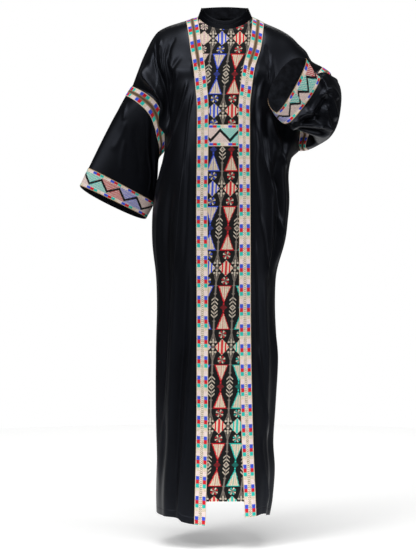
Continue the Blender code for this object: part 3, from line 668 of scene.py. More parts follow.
def softened(grid, across):
    """The grid with its rows eased into each other, but for the shoulder, the hem and the
    seams round the underarm."""
    rows = np.arange(len(grid))
    weights = np.hanning(2 * SOFTEN_ROWS + 3)[1:-1]
    smooth = sum(
        weight * grid[np.clip(rows + step, 0, rows[-1])]
        for step, weight in zip(range(-SOFTEN_ROWS, SOFTEN_ROWS + 1), weights / weights.sum())
    )
    below = rows - ARMHOLE_ROWS
    middle = ease(1 + (below + SOFTEN_ROWS) / SOFTEN_ROWS)
    seam = ease((below - SOFTEN_ROWS) / SOFTEN_ROWS)
    beside = ease((across - SOFTEN_SEAM) / (1 - SOFTEN_SEAM))
    share = middle[:, None] + (seam - middle)[:, None] * beside
    share = share * ease((rows[-1] - rows) / (2 * SOFTEN_ROWS))[:, None]
    return grid + (smooth - grid) * share[..., None]


def front_surface(side, crease):
    """Outer points of a front panel, rows from the shoulder to the hem, columns from the
    front edge to the armhole and side seam."""
    shoulder = SIDES[side]["shoulder"]
    top_drop = shoulder["drop"][0]
    edge_drop = top_drop + (UNDERARM_DROP - top_drop) * WAYS
    edge_x, edge_y = front_inner_edge(side, edge_drop)
    reach, hole_y, hole_drop = armhole(side, "front", WAYS)
    across, reach_even = across_places((reach - side * edge_x)[:, None])
    blend = ease(WAYS / ROUNDING_WAY)[:, None]
    share = (1 - blend) * reach_even + blend * round_share(across)
    x = edge_x[:, None] + (side * reach - edge_x)[:, None] * share
    y = hole_y[:, None] + (edge_y - hole_y)[:, None] * depth_share(share, WAYS)
    first_reach = shoulder["reach"][0] + share[0] * (shoulder["reach"][-1] - shoulder["reach"][0])
    line_drop = follow(shoulder, "reach", "drop", first_reach)
    upper = points(x, y, -upper_drops(edge_drop, hole_drop, line_drop, share))
    grid, across, drop = down_to_hem(side, "front", upper, share, across)
    from_trim = across - across[:, TRIM_COLUMNS:TRIM_COLUMNS + 1]
    height = relief(side, "front", across, drop, from_trim, TRIM_FADE, crease)
    return grid + outward(grid, False) * -side * height[..., None]


def back_half(side, crease):
    """Outer points of half the back panel, columns from the middle to the side, and how
    far its folds and creases move them."""
    shoulder = SIDES[side]["shoulder"]
    columns = np.linspace(0, 1, BACK_COLUMNS + 1)
    neck_part = NECK_COLUMNS / BACK_COLUMNS
    in_neck = np.arange(BACK_COLUMNS + 1) <= NECK_COLUMNS
    turns = side * 90 * np.clip(columns / neck_part, 0, 1)
    line_share = (columns - neck_part) / (1 - neck_part)
    line_reach = shoulder["reach"][0] + (shoulder["reach"][-1] - shoulder["reach"][0]) * line_share
    line_reach = np.clip(line_reach, shoulder["reach"][0], None)
    line = points(side * line_reach, 0.0, -follow(shoulder, "reach", "drop", line_reach))
    top = np.where(in_neck[:, None], neckline(turns), line)
    reach, hole_y, hole_drop = armhole(side, "back", WAYS)
    first_drop = -NECK_BACK[1]
    middle_drop = first_drop + (UNDERARM_DROP - first_drop) * WAYS
    middle_y = follow(BACK_MIDDLE, "drop", "back", middle_drop)
    top_share = np.abs(top[:, 0]) / shoulder["reach"][-1]
    blend = ease(WAYS / BACK_ROUNDING_WAY)[:, None]
    share = (1 - blend) * top_share + blend * round_share(columns)
    centre = middle_x(middle_drop)[:, None]
    x = centre + (side * reach[:, None] - centre) * share
    y = hole_y[:, None] + (middle_y - hole_y)[:, None] * depth_share(share, WAYS)
    y = y + (top[:, 1] - y[0]) * ((1 - WAYS) ** NECK_POWER)[:, None]
    upper = points(x, y, -upper_drops(middle_drop, hole_drop, -top[:, 2], share))
    across = np.broadcast_to(columns, share.shape)
    grid, across, drop = down_to_hem(side, "back", upper, share, across)
    return grid, relief(side, "back", across, drop, across, CREASE_FADE, crease)[..., None]


def back_surface(crease):
    """The whole back panel, columns from the right side seam to the left one."""
    halves = zip(back_half(RIGHT, crease), back_half(LEFT, crease))
    grid, height = (np.concatenate([right[:, ::-1], left[:, 1:]], axis=1) for right, left in halves)
    return grid + outward(grid, False) * height


def sleeve_ring(side, along, around):
    """Points round a sleeve; around runs 0 to 1 from the top, over the front, and back."""
    rows = SIDES[side]["sleeve"]
    value = {name: follow(rows, "along", name, along) for name in rows if name != "along"}
    top = points(side * value["top_reach"], value["top_y"], -value["top_drop"])
    low = points(side * value["low_reach"], value["low_y"], -value["low_drop"])
    yaw = np.radians(value["yaw"])
    lift = np.radians(value["lift"])
    inward = points(-side * np.sin(yaw) * np.cos(lift), -np.cos(yaw) * np.cos(lift), np.sin(lift))
    angle = around * 2 * np.pi
    length_share, thick_share = (
        np.sign(part) * np.abs(part) ** (2 / SLEEVE_SQUARENESS)
        for part in (np.cos(angle), np.sin(angle))
    )
    thickness = thick_share * np.where(thick_share > 0, value["inner"], value["outer"])
    return (top + low) / 2 + length_share[:, None] * (top - low) / 2 + thickness[:, None] * inward


def sleeve_surface(side, crease):
    """A sleeve with its creases, a row for each ring."""
    around = np.concatenate([WAYS[:-1] / 2, 1 - WAYS[:0:-1] / 2])
    halves = (armhole(side, "front", WAYS[:-1]), armhole(side, "back", WAYS[:0:-1]))
    reach, y, drop = np.concatenate(halves, axis=1)
    rest = points(side * reach, y, -drop) - sleeve_ring(side, 0.0, around)
    alongs = np.linspace(0, SLEEVE_LENGTH, SLEEVE_ROWS + 1)
    grid = np.array([
        sleeve_ring(side, along, around) + rest * (1 - ease(along / SLEEVE_BLEND))
        for along in alongs
    ])
    near_mouth = ease(1 - (SLEEVE_LENGTH - alongs) / MOUTH_DIP_LENGTH)[:, None]
    behind = np.maximum(0, -np.sin(2 * np.pi * around))
    grid[..., 2] -= MOUTH_DIP[side] * near_mouth * behind
    out = outward(grid, True) * side
    down = alongs[:, None]
    height = crease_height(SIDES[side]["sleeve_creases"], around * SLEEVE_SPAN, down)
    if "seen_creases" in SIDES[side]:
        seen = crease_height(SIDES[side]["seen_creases"], grid[..., 0], grid[..., 2], True)
        facing = ease((-out[..., 1] - SEEN_FROM) * SEEN_GROW)
        height = height + SEEN_STRENGTH * seen * facing
    depth, seed, size = RELIEF["sleeve"]
    wave = uneven(np.sin(around * 2 * np.pi) * depth, down, seed + side, size)
    height = height + CLOTH_UNEVEN * wave
    return grid + out * (crease * height * ease(down / SLEEVE_FADE))[..., None]


def centre_surface(right_edge, left_edge, shares):
    """The centre panel between the fronts' inner edges, a row for each of theirs down to
    the panel's own hem, and its drops."""
    chord = right_edge[0] + (left_edge[0] - right_edge[0]) * shares[:, None]
    sag = neckline(270 - 180 * shares) - chord
    levels = -right_edge[:, 2]
    drops = np.append(levels[levels < CENTRE_PANEL_DROP], CENTRE_PANEL_DROP)
    rows = []
    for drop in drops:
        right, left = (
            np.array([np.interp(drop, -edge[:, 2], edge[:, axis]) for axis in range(3)])
            for edge in (right_edge, left_edge)
        )
        left_over = 1 - np.clip((drop - levels[0]) / SAG_LENGTH, 0, 1)
        sunk = sag * left_over ** np.array(SAG_POWERS)
        rows.append(right + (left - right) * shares[:, None] + sunk)
    return np.array(rows), drops


def resample(grid, rows, columns):
    """Points of a grid at fractional rows and columns."""
    rows, columns = np.broadcast_arrays(rows, columns)
    low_row = np.clip(rows.astype(int), 0, grid.shape[0] - 2)
    low_column = np.clip(columns.astype(int), 0, grid.shape[1] - 2)
    r = (rows - low_row)[..., None]
    c = (columns - low_column)[..., None]
    return (
        grid[low_row, low_column] * (1 - r) * (1 - c)
        + grid[low_row, low_column + 1] * (1 - r) * c
        + grid[low_row + 1, low_column] * r * (1 - c)
        + grid[low_row + 1, low_column + 1] * r * c
    )


def lengths(line):
    """Length along a line of points, from its start."""
    return np.append(0, np.cumsum(np.linalg.norm(np.diff(line, axis=0), axis=1)))


def even_steps(line, step):
    """Fractional places along a line of points that part it into even steps."""
    at = lengths(line)
    count = max(2, int(round(at[-1] / step)))
    wanted = np.linspace(0, at[-1], count + 1)
    return np.interp(wanted, at, np.arange(len(line))), wanted


# Woven patterns, in millimetres: the blocks' colours and lengths, and half widths from the
# trim's middle; drops, and where the right and left trims' blocks start, are in metres
BLOCK_INKS = ("blue", "red", "teal", "cream", "pink")
TRIM_BLOCKS = (10.8, 10.8, 10.6, 9.3, 14.0)
TRIM_PERIOD = 55.5
TRIM_START = {RIGHT: 0.291, LEFT: 0.314}
STRIPE_HALF = 5.2
BRAID_HALF = 4.2
BRAID_SLOPE = 0.9
BRAID_PITCH = 5.6
BRAID_SHARE = 0.4
GROUND_START = 13.6
TRIM_EDGE_START = 15.2
# Painted fold shade down the trim's middle at the top of the fronts: its half width, the inset of
# its darker painted shadow line, how dark that line is, the drop where it ends and the length over
# which it fades
FOLD_SHADE_HALF = 4.6
FOLDED_SHADOW = 2.4
FOLDED_SHADE = 0.4
FOLD_SHADE_DROP = 0.165
FOLD_SHADE_FADE = 0.03
BAND_BLOCKS = (10.7, 10.7, 10.7, 10.7, 10.7)
BAND_PERIOD = 53.5
BAND_BORDER = 10.0
BAND_EDGE = 1.5
ZIGZAG_TOP = 15.5
DOT_PITCH = 2
DOTS_EVERY = 3
TRIANGLES = ("band_teal", "band_red", "lavender", "dusty")

# The centre panel's upright columns of motifs: where the red one runs, and the levels of
# its large diamonds
RED_COLUMN = table("drop x", """
0.069 0.0426
0.160 0.0283
0.271 0.0197
0.379 0.0183
0.486 0.0155
0.596 0.0085
0.708 0.0030
0.816 -0.0040
0.927 -0.0082
1.035 -0.0123
1.146 -0.0165
1.257 -0.0220
1.323 -0.0303
""")
DIAMOND_DROPS = (-0.150, 0.063, 0.2707, 0.4868, 0.7077, 0.9268, 1.1456, 1.360)
COLUMN_INKS = ("red", "teal", "dusty", "blue")
DARK_INKS = ("dark_red", "dark_teal", "dark_pink", "dark_blue")

# Motifs of the centre panel, in millimetres: their distances from the large diamond's level,
# and their half widths
COLUMN = 50.0
PANEL_PERIOD = 219.5
STEM_START = 38
STEM_THINS = 75
STEM_HALF = 1.7
STEM_THIN = 0.9
KNOTS = (48.8, 71.7)
KNOT = (4.6, 4.0)
LEAVES = (18.0, 28.5)
LEAF_HALF = 1.9
LEAF_WAY = (1.2, 8.6)
HEART = (8.6, 9.2)
HEART_RING = (0.55, 1.0)
HEART_GROUND = 1.25
HEART_CORE = 0.4
HEAD = (11, 42)
HEAD_OPENS = 30
HEAD_NECK = 1.4
HEAD_WIDTH = 8.6
HEAD_FLARE = 1.2
HEAD_DARK = (1.6, 1.8)
HEAD_SHADE = 0.5
BUDS = ((0.0, 16.5, 2.4, 6.5), (6.8, 14.0, 3.0, 2.6))
HATCH = 1.6
HATCH_ROWS = 480
HATCH_EVERY = 3
SEED_LEVEL = 6.3
SEED = 3.1
CROSS = (0.9, 5)
DIAMOND = (20.6, 22.4)
DIAMOND_STRIPES = ((0.0, 2.9, 20.0), (7.8, 12.2, 12.4))
DIAMOND_TIP = (16.6, 2.6)
ROSETTE_LEVEL = 35.4
ROSETTE = (2.6, 10.6)
PETAL_TURN = 45
PETAL_START = 4.0
PETAL_GROW = 0.95
ROSETTE_CROSS = (0.9, 8)
HOURGLASS_TOP = 48.8
HOURGLASS_END = 98
HOURGLASS_HALF = 18.6
HOURGLASS_TAPER = 49.7
HOURGLASS_STEP = 4.4
HOURGLASS_STRIPES = (5.2, 1.3)
HOURGLASS_LINE = 0.9
LINE_MIX = (0.6, 0.3)
HOURGLASS_LID = 51.4
OUTLINES = (3.4, 1.9)
NODE_BAR = (2.5, 5.5, 12.5)
NODE_DIAMOND = (10, 8.6)


def block_inks(inks, along, widths):
    """The colour of the block of a repeat that each place along falls in."""
    edges = np.cumsum(widths)
    block = np.searchsorted(edges, along % edges[-1], side="right").clip(0, len(widths) - 1)
    return np.array([inks[name] for name in BLOCK_INKS])[block]


def trim_pattern(inks, across, along, drop):
    """The woven front trim: coloured blocks on both sides of a braided stripe, with a painted fold
    shade and a darker painted shadow line down its middle at the top of the fronts."""
    ink = block_inks(inks, along + TRIM_BLOCKS[0] / 2, TRIM_BLOCKS)
    from_middle = np.abs(across - TRIM_WIDTH * MM / 2)
    ink[from_middle < STRIPE_HALF] = inks["beige"]
    braid = (along + from_middle * BRAID_SLOPE) % BRAID_PITCH < BRAID_PITCH * BRAID_SHARE
    ink[(from_middle < BRAID_HALF) & braid] = inks["thread"]
    ink[from_middle > GROUND_START] = inks["beige_pale"]
    ink[from_middle > TRIM_EDGE_START] = inks["edge"]
    # Painted fold shade: brown over the braid's middle near the top of the fronts, with a darker
    # painted shadow line inside it
    folded = FOLD_SHADE_HALF * ease((FOLD_SHADE_DROP - drop) / FOLD_SHADE_FADE)
    ink[from_middle < folded] = inks["folded"]
    ink[from_middle < folded - FOLDED_SHADOW] = inks["folded"] * FOLDED_SHADE
    return ink


def band_pattern(inks, turn, across, width, band):
    """The zigzag band: a black zigzag between dotted triangles, under and over a border of
    coloured blocks. Upper points of the zigzag lie at whole periods."""
    along = turn * BAND_PERIOD
    ink = np.zeros((*turn.shape, 3))
    ink[:] = inks["beige_pale"]
    from_edge = np.minimum(across, width - across)
    border = (across < BAND_BORDER) | (across > width - BAND_BORDER)
    block_along = along - band["blocks"] * BAND_PERIOD + BAND_BLOCKS[0] / 2
    coloured = border & (from_edge > BAND_EDGE) & (from_edge < BAND_BORDER - BAND_EDGE / 2)
    ink[coloured] = block_inks(inks, block_along, BAND_BLOCKS)[coloured]
    ink[from_edge < BAND_EDGE] = inks["edge"]
    deep = 1 - np.abs(2 * (turn - np.floor(turn)) - 1)
    line = ZIGZAG_TOP + deep * (width - 2 * ZIGZAG_TOP)
    names = np.array([inks[name] for name in TRIANGLES])
    halves = (("upper", np.floor, across < line), ("lower", np.round, across >= line))
    for side, whole, inside in halves:
        triangle = (whole(turn).astype(int) + band[side]) % len(TRIANGLES)
        ink[~border & inside] = names[triangle][~border & inside]
    dots = (np.floor(along / DOT_PITCH) + np.floor(across / DOT_PITCH)).astype(int)
    dots = dots % DOTS_EVERY == 0
    ink[~border & dots] = inks["dot"]
    ink[~border & (np.abs(across - line) < band["line"])] = inks["black"]
    return ink


def lozenge(x, y, half_width, half_height):
    """Below 1 inside a lozenge."""
    return x / half_width + y / half_height


def oval(x, y, half_width, half_height):
    """Below 1 inside an oval."""
    return (x / half_width) ** 2 + (y / half_height) ** 2


def within(values, limits):
    """Where values lie between two limits."""
    return (values > limits[0]) & (values < limits[1])


def panel_pattern(inks, sideways, drop):
    """Cross stitch of the centre panel: columns of diamonds, rosettes and hourglasses, with
    a flowering stem between each two. Sideways runs from the red column."""
    ink = np.zeros((*sideways.shape, 3))
    ink[:] = inks["black"]
    turn = np.interp(drop, DIAMOND_DROPS, np.arange(len(DIAMOND_DROPS)))
    away = np.abs((turn - np.round(turn)) * PANEL_PERIOD)
    node = PANEL_PERIOD / 2 - away
    column = np.round(sideways / COLUMN).astype(int)
    across = sideways - column * COLUMN
    beside = np.abs(across)
    bright, dark = (
        np.array([inks[name] for name in names])[column % len(names)]
        for names in (COLUMN_INKS, DARK_INKS)
    )

    def fill(where, colour):
        ink[where] = colour[where] if np.ndim(colour) > 1 else colour

    # Stems and flowers between the columns
    stem = sideways - COLUMN / 2 - COLUMN * np.round((sideways - COLUMN / 2) / COLUMN)
    from_stem = np.abs(stem)
    thick = np.where(away > STEM_THINS, STEM_THIN, STEM_HALF)
    fill((from_stem < thick) & (away > STEM_START), inks["stem"])
    for level in KNOTS:
        fill(lozenge(from_stem, np.abs(away - level), *KNOT) < 1, inks["stem"])
    for apex in LEAVES:
        leaf = np.abs(node + from_stem - apex)
        fill((leaf < LEAF_HALF) & within(from_stem, LEAF_WAY), inks["leaf"])
    heart = lozenge(from_stem, node, *HEART)
    fill(heart < HEART_GROUND, inks["black"])
    fill(within(heart, HEART_RING), inks["leaf"])
    fill(heart < HEART_CORE, inks["stem"])
    opening = np.maximum((HEAD[1] - away) / HEAD_OPENS, 0)
    edge_of_head = HEAD_NECK + HEAD_WIDTH * opening**HEAD_FLARE
    head = within(away, HEAD) & (from_stem < edge_of_head)
    hatch = (np.round(stem / HATCH) + np.round(drop * HATCH_ROWS)).astype(int)
    fill(head, inks["stem"])
    fill(head & (hatch % HATCH_EVERY == 0), inks["shade"])
    hollow = (from_stem > HEAD_DARK[0]) & (from_stem < edge_of_head - HEAD_DARK[1])
    fill(head & hollow, inks["shade"] * HEAD_SHADE)
    for aside, level, *halves in BUDS:
        fill(oval(from_stem - aside, away - level, *halves) < 1, inks["leaf"])
    fill(np.hypot(from_stem, away - SEED_LEVEL) < SEED, inks["leaf"])
    fill((np.abs(from_stem - away) < CROSS[0]) & (from_stem < CROSS[1]), inks["stem"])

    # Large diamonds
    fill(lozenge(beside, away, *DIAMOND) < 1, inks["cream"])
    for inner, outer, height in DIAMOND_STRIPES:
        fill((beside >= inner) & (beside < outer) & (away < height), bright)
    fill(np.abs(beside - DIAMOND_TIP[0]) + away < DIAMOND_TIP[1], bright)

    # Rosettes of eight petals round crossed stems
    up = away - ROSETTE_LEVEL
    turns = np.degrees(np.arctan2(up, across)) / PETAL_TURN - 0.5
    petal = np.round(turns)
    from_middle = np.hypot(across, up)
    half_turn = PETAL_START + PETAL_GROW * from_middle
    wedge = within(from_middle, ROSETTE) & (np.abs(turns - petal) * PETAL_TURN < half_turn)
    crossed = np.abs(beside - np.abs(up)) < ROSETTE_CROSS[0]
    fill(crossed & (beside < ROSETTE_CROSS[1]), inks["stem"])
    fill(wedge & (petal % 2 == 0), bright)
    fill(wedge & (petal % 2 == 1), inks["cream"])

    # Hourglasses
    steps = np.round((away - HOURGLASS_TOP) / HOURGLASS_STEP) * HOURGLASS_STEP
    half = HOURGLASS_HALF * (HOURGLASS_TAPER - steps) / HOURGLASS_TAPER
    glass = within(away, (HOURGLASS_TOP, HOURGLASS_END)) & (beside < half)
    fill(glass, inks["cream"])
    fill(glass & (beside % HOURGLASS_STRIPES[0] < HOURGLASS_STRIPES[1]), inks["pale"])
    middle_line = bright * LINE_MIX[0] + inks["pale"] * LINE_MIX[1]
    fill(glass & (beside < HOURGLASS_LINE), middle_line)
    outline = np.where(across < 0, *OUTLINES)
    fill(glass & ((beside > half - outline) | (away < HOURGLASS_LID)), bright)

    # Small deep diamonds between the hourglasses
    fill((beside < NODE_BAR[0]) & within(node, NODE_BAR[1:]), bright)
    fill(lozenge(beside, node, *NODE_DIAMOND) < 1, dark)
    return ink


def linear(colour):
    """A screen colour as the linear one that shaders take."""
    colour = np.array(colour[:3])
    return np.where(colour <= 0.04045, colour / 12.92, ((colour + 0.055) / 1.055) ** 2.4)


def screen(code):
    """A colour property's value from its six-figure code."""
    return tuple(int(code[n:n + 2], 16) / 255 for n in (0, 2, 4))


# Looks: the dips at the seams and along the hem's stitches, by distance from the cloth's edge
SEWN_WIDTH = 0.03
SEAM_DEPTH = 0.0008
SEAM_DIP = ((0.0, 0.0), (0.0035, 1.0))
HEM_DIP = ((0.0, 0.4), (0.002, 1.0), (0.0175, 1.0), (0.019, 0.35), (0.0205, 1.0))

# The velvet's brushed patches, its streaks and its pile
BRUSH_STRETCH = (1.0, 1.0, 0.4)
BRUSH_SCALE = 14.0
BRUSH_TONES = (0.45, 0.85)
STREAK_STRETCH = (1.0, 1.0, 0.25)
STREAK_SCALE = 90.0
STREAK_SHARE = 0.35
PILE_SCALE = 1400.0
PILE_STREAKS = 0.5
PILE_BUMP = 0.04
PILE_DEPTH = 0.0003

# The cloth's reverse, the threads, the dust on them and the floor's tones
REVERSE_SCALE = 60.0
REVERSE_TONES = ((0.35, 0.6), (0.75, 1.8))
WEAVE_SCALE = 1600.0
WEAVE_BUMP = 0.3
WEAVE_DEPTH = 0.0004
THREAD_DEPTH = 0.0007
THREAD_WANDER = 0.6
DUST_SCALE = 700.0
DUST_SHARE = 0.4
CLOUD_SCALE = 9.0
CLOUD_SHARE = 0.4
FLOOR_TONES = ((0.3, 0.985), (0.7, 1.0))


class NodeBoard:
    """The nodes of a look or of the studio's surroundings, added one at a time."""

    def __init__(self, look):
        look.use_nodes = True
        self.tree = look.node_tree
        self.shader = self.tree.nodes.get("Principled BSDF")
        self.count = 0

    def fill(self, node, inputs):
        """Join sockets to a node's inputs and set its other values."""
        for name, value in inputs.items():
            if isinstance(value, bpy.types.NodeSocket):
                self.tree.links.new(value, node.inputs[name])
            else:
                node.inputs[name].default_value = value

    def node(self, kind, inputs, **values):
        """Add a node and return its first output."""
        node = self.tree.nodes.new(kind)
        self.count += 1
        node.location = (-260 * (1 + self.count // 3), 300 - 220 * (self.count % 3))
        for name, value in values.items():
            setattr(node, name, value)
        self.fill(node, inputs)
        return node.outputs[0]

    def space(self):
        """The object's own coordinates."""
        return self.node("ShaderNodeTexCoord", {}).node.outputs["Object"]

    def map(self, name):
        """One of the cloth's own maps."""
        return self.node("ShaderNodeUVMap", {}, uv_map=name)

    def noise(self, space, scale, detail=2.0):
        return self.node("ShaderNodeTexNoise", {"Scale": scale, "Detail": detail, "Vector": space})

    def stretched(self, space, factors):
        return self.node("ShaderNodeMapping", {"Scale": factors, "Vector": space})

    def math(self, operation, *inputs, **values):
        inputs = dict(enumerate(inputs))
        return self.node("ShaderNodeMath", inputs, operation=operation, **values)

    def sum(self, first, second, share):
        """first + second * share."""
        return self.math("MULTIPLY_ADD", second, share, first)

    def bump(self, height, strength, distance, **under):
        """Give the shader a relief, and return it for one that lies over it."""
        inputs = {"Height": height, "Strength": strength, "Distance": distance}
        normal = self.node("ShaderNodeBump", {**inputs, **under})
        self.fill(self.shader, {"Normal": normal})
        return normal

    def ramp(self, factor, stops):
        colour = self.node("ShaderNodeValToRGB", {"Fac": factor})
        elements = colour.node.color_ramp.elements
        for n, (place, ink) in enumerate(stops):
            element = elements[n] if n < 2 else elements.new(place)
            element.position = place
            element.color = (*ink, 1.0)
        return colour


def new_look(name):
    """The nodes of a new look."""
    return NodeBoard(bpy.data.materials.new(name))


def sewing(board):
    """Where the cloth dips into its seams and along the stitches of its hem."""
    border = board.node("ShaderNodeSeparateXYZ", {0: board.map("border")}).node
    depths = []
    for place, stops in (("X", SEAM_DIP), ("Y", HEM_DIP)):
        scaled = board.math("MULTIPLY", border.outputs[place], 1 / SEWN_WIDTH, use_clamp=True)
        levels = [(distance / SEWN_WIDTH, (level,) * 3) for distance, level in stops]
        depths.append(board.ramp(scaled, levels))
    return board.math("MINIMUM", *depths)


def velvet_look(settings, name, shine):
    """Black velvet: a deep pile that only shows where it turns away."""
    board = new_look(name)
    space = board.space()
    brushed = board.noise(board.stretched(space, BRUSH_STRETCH), BRUSH_SCALE, 3.0)
    streaks = board.noise(board.stretched(space, STREAK_STRETCH), STREAK_SCALE)
    tone = board.sum(brushed, streaks, STREAK_SHARE)
    stops = zip(BRUSH_TONES, (linear(settings.velvet), linear(settings.velvet_worn)))
    pile = board.noise(space, PILE_SCALE)
    sewn = board.bump(sewing(board), 1.0, SEAM_DEPTH)
    board.bump(board.sum(pile, streaks, PILE_STREAKS), PILE_BUMP, PILE_DEPTH, Normal=sewn)
    board.fill(board.shader, {
        "Base Color": board.ramp(tone, stops),
        "Roughness": 0.42,
        "Sheen Weight": settings.sheen,
        "Sheen Roughness": 0.35,
        "Sheen Tint": (*linear(settings.sheen_tint), 1.0),
        "Specular IOR Level": shine,
        "Specular Tint": (*linear(settings.shine_tint), 1.0),
    })


def reverse_look(settings):
    """The matt woven back of the cloth."""
    board = new_look("cloth_reverse")
    space = board.space()
    base = linear(settings.reverse)
    stops = [(place, base * level) for place, level in REVERSE_TONES]
    colour = board.ramp(board.noise(space, REVERSE_SCALE, 3.0), stops)
    board.bump(board.noise(space, WEAVE_SCALE, 1.0), WEAVE_BUMP, WEAVE_DEPTH)
    board.fill(board.shader, {"Base Color": colour, "Roughness": 0.95, "Specular IOR Level": 0.15})


def stitched_look(name, settings, lift, sheen):
    """Coloured stitches: each one's colour is kept on the cloth, with crossed threads."""
    board = new_look(name)
    place = board.map("cloth")
    space = board.space()
    dust = board.noise(space, DUST_SCALE)
    shade = board.node("ShaderNodeMapRange", {
        "Value": board.sum(dust, board.noise(space, CLOUD_SCALE), CLOUD_SHARE),
        "From Min": 0.3,
        "From Max": 0.8,
        "To Min": 0.78,
        "To Max": 1.12,
    })
    colour = board.node("ShaderNodeHueSaturation", {
        "Color": board.node("ShaderNodeAttribute", {}, attribute_name="stitches"),
        "Saturation": settings.thread_strength,
        "Value": shade,
    })
    wave = {"wave_type": "BANDS", "bands_direction": "DIAGONAL"}
    scale = 1 / (STITCH * 4)
    mirrored = board.stretched(place, (-1.0, 1.0, 1.0))
    inputs = (
        {"Scale": scale, "Distortion": THREAD_WANDER, "Vector": place},
        {"Scale": scale, "Vector": mirrored},
    )
    waves = [board.node("ShaderNodeTexWave", row, **wave).node.outputs["Fac"] for row in inputs]
    threads = board.math("MAXIMUM", *waves)
    board.bump(board.sum(threads, dust, DUST_SHARE), lift, THREAD_DEPTH)
    board.fill(board.shader, {
        "Base Color": colour,
        "Roughness": 0.78,
        "Sheen Weight": sheen,
        "Sheen Roughness": 0.5,
        "Specular IOR Level": 0.3,
    })


def floor_look(settings):
    """The matt pale floor, with a little glow of its own."""
    board = new_look("pale_floor")
    stops = [(place, linear(settings.floor) * level) for place, level in FLOOR_TONES]
    board.fill(board.shader, {
        "Base Color": board.ramp(board.noise(board.space(), 3.0), stops),
        "Roughness": 0.9,
        "Emission Color": (1, 1, 1, 1),
        "Emission Strength": FLOOR_GLOW,
    })


def stitch_places(values, grid):
    """Four places inside each quad of a grid, where its stitches are coloured."""
    quads = quad_corners(np.broadcast_to(values, grid.shape[:2]))
    return (quads + quads.mean(axis=2, keepdims=True)) / 2


def quad_corners(values):
    """The values at the four corners of each quad of a grid."""
    return np.stack([values[:-1, :-1], values[1:, :-1], values[1:, 1:], values[:-1, 1:]], axis=2)


def grid_mesh(name, grid, closed, flip, ink):
    """A mesh of a grid of outer points, with its lengths across and down and its distances
    from the seams and the hem as UV maps, and the colour of each stitch where it has some."""
    rows, columns = grid.shape[:2]
    index = np.arange(rows * columns).reshape(rows, columns)
    wide = grid
    if closed:
        wide = np.concatenate([grid, grid[:, :1]], axis=1)
        index = np.concatenate([index, index[:, :1]], axis=1)
    over = np.zeros(wide.shape[:2])
    over[:, 1:] = np.cumsum(np.linalg.norm(np.diff(wide, axis=1), axis=-1), axis=1)
    down = np.zeros(wide.shape[:2])
    down[1:] = np.cumsum(np.linalg.norm(np.diff(wide, axis=0), axis=-1), axis=0)
    beside = np.ones_like(over) if closed else np.minimum(over, over[:, -1:] - over)
    maps = {"cloth": (over, -down), "border": (np.minimum(beside, down), down[-1:] - down)}

    def corners(values):
        quads = quad_corners(values)
        quads = quads[:, :, ::-1] if flip else quads
        return quads.reshape(-1, 4, *values.shape[2:])

    data = bpy.data.meshes.new(name)
    data.from_pydata(grid.reshape(-1, 3).tolist(), [], corners(index).tolist())
    for map_name, values in maps.items():
        layer = data.uv_layers.new(name=map_name)
        layer.data.foreach_set("uv", corners(np.stack(values, axis=-1)).ravel())
    if ink is not None:
        ink = ink[:, :, ::-1] if flip else ink
        colours = np.ones((ink.shape[0] * ink.shape[1], 4, 4))
        colours[:, :, :3] = ink.reshape(-1, 4, 3)
        layer = data.color_attributes.new("stitches", "FLOAT_COLOR", "CORNER")
        layer.data.foreach_set("color", colours.ravel())
    return data


def weld(data):
    """Merge the points of a mesh that lie together."""
    mesh = bmesh.new()
    mesh.from_mesh(data)
    bmesh.ops.remove_doubles(mesh, verts=mesh.verts[:], dist=WELD_DISTANCE)
    bmesh.ops.dissolve_degenerate(mesh, edges=mesh.edges[:], dist=WELD_DISTANCE / 10)
    mesh.to_mesh(data)
    mesh.free()


def nodes_of(name):
    """The nodes of the solids that a piece stands for."""
    return [name + "_upper", name + "_lower"] if name in HALVED else [name]


def sew(name, grid, look, closed=False, flip=False, ink=None):
    """Make a piece from a grid of outer points, thickened inwards, and set it in the place
    of its nodes, with the size it was cut to."""
    settings = bpy.context.scene.bisht
    woven = look.startswith("woven")
    piece_name = ("woven_" if woven else "cloth_") + name
    looks = (look,) if woven else (look, "cloth_reverse")
    data = grid_mesh(piece_name, grid, closed, flip, ink)
    weld(data)
    for each in looks:
        data.materials.append(bpy.data.materials[each])
    piece = bpy.data.objects.new(piece_name, data)
    bpy.context.scene.collection.objects.link(piece)
    solid = piece.modifiers.new("Cloth", "SOLIDIFY")
    solid.thickness = settings.ribbon if woven else settings.cloth
    solid.offset = -1.0
    solid.material_offset = len(looks) - 1
    bpy.ops.object.select_all(action="DESELECT")
    piece.select_set(True)
    bpy.context.view_layer.objects.active = piece
    bpy.ops.object.modifier_apply(modifier=solid.name)
    bpy.ops.object.shade_smooth_by_angle(angle=np.radians(SMOOTH_ANGLE))
    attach(piece, "root")
    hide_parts(*nodes_of(name))


SHAPES = {}


def shapes():
    """The cloth surfaces, worked out once."""
    if not SHAPES:
        crease = bpy.context.scene.bisht.crease
        for side in BOTH:
            name = SIDES[side]["name"]
            SHAPES["front_" + name] = front_surface(side, crease)
            SHAPES["sleeve_" + name] = sleeve_surface(side, crease)
        SHAPES["back"] = back_surface(crease)
        right = SHAPES["front_right"][:, 0]
        left = SHAPES["front_left"][:, 0]
        SHAPES["centre"] = centre_surface(right, left, np.linspace(0, 1, PANEL_STEPS + 1))
    return SHAPES


def laid_on(name, closed, way):
    """A cloth's surface moved out to where the face of a ribbon laid on it is."""
    surface = shapes()[name]
    thickness = bpy.context.scene.bisht.ribbon
    return surface + outward(surface, closed) * way * (LAY_GAP + thickness)


def thread_inks():
    """The linear colour of each thread."""
    settings = bpy.context.scene.bisht
    return {name: linear(getattr(settings, name)) for name in THREADS}


def hand_made(ink, seed):
    """Slight differences of shade from stitch to stitch."""
    random = np.random.default_rng(seed)
    shades = random.normal(1.0, SHADE_SPREAD, ink.shape[:2]).clip(*SHADE_LIMITS)
    return ink * shades[..., None, None]


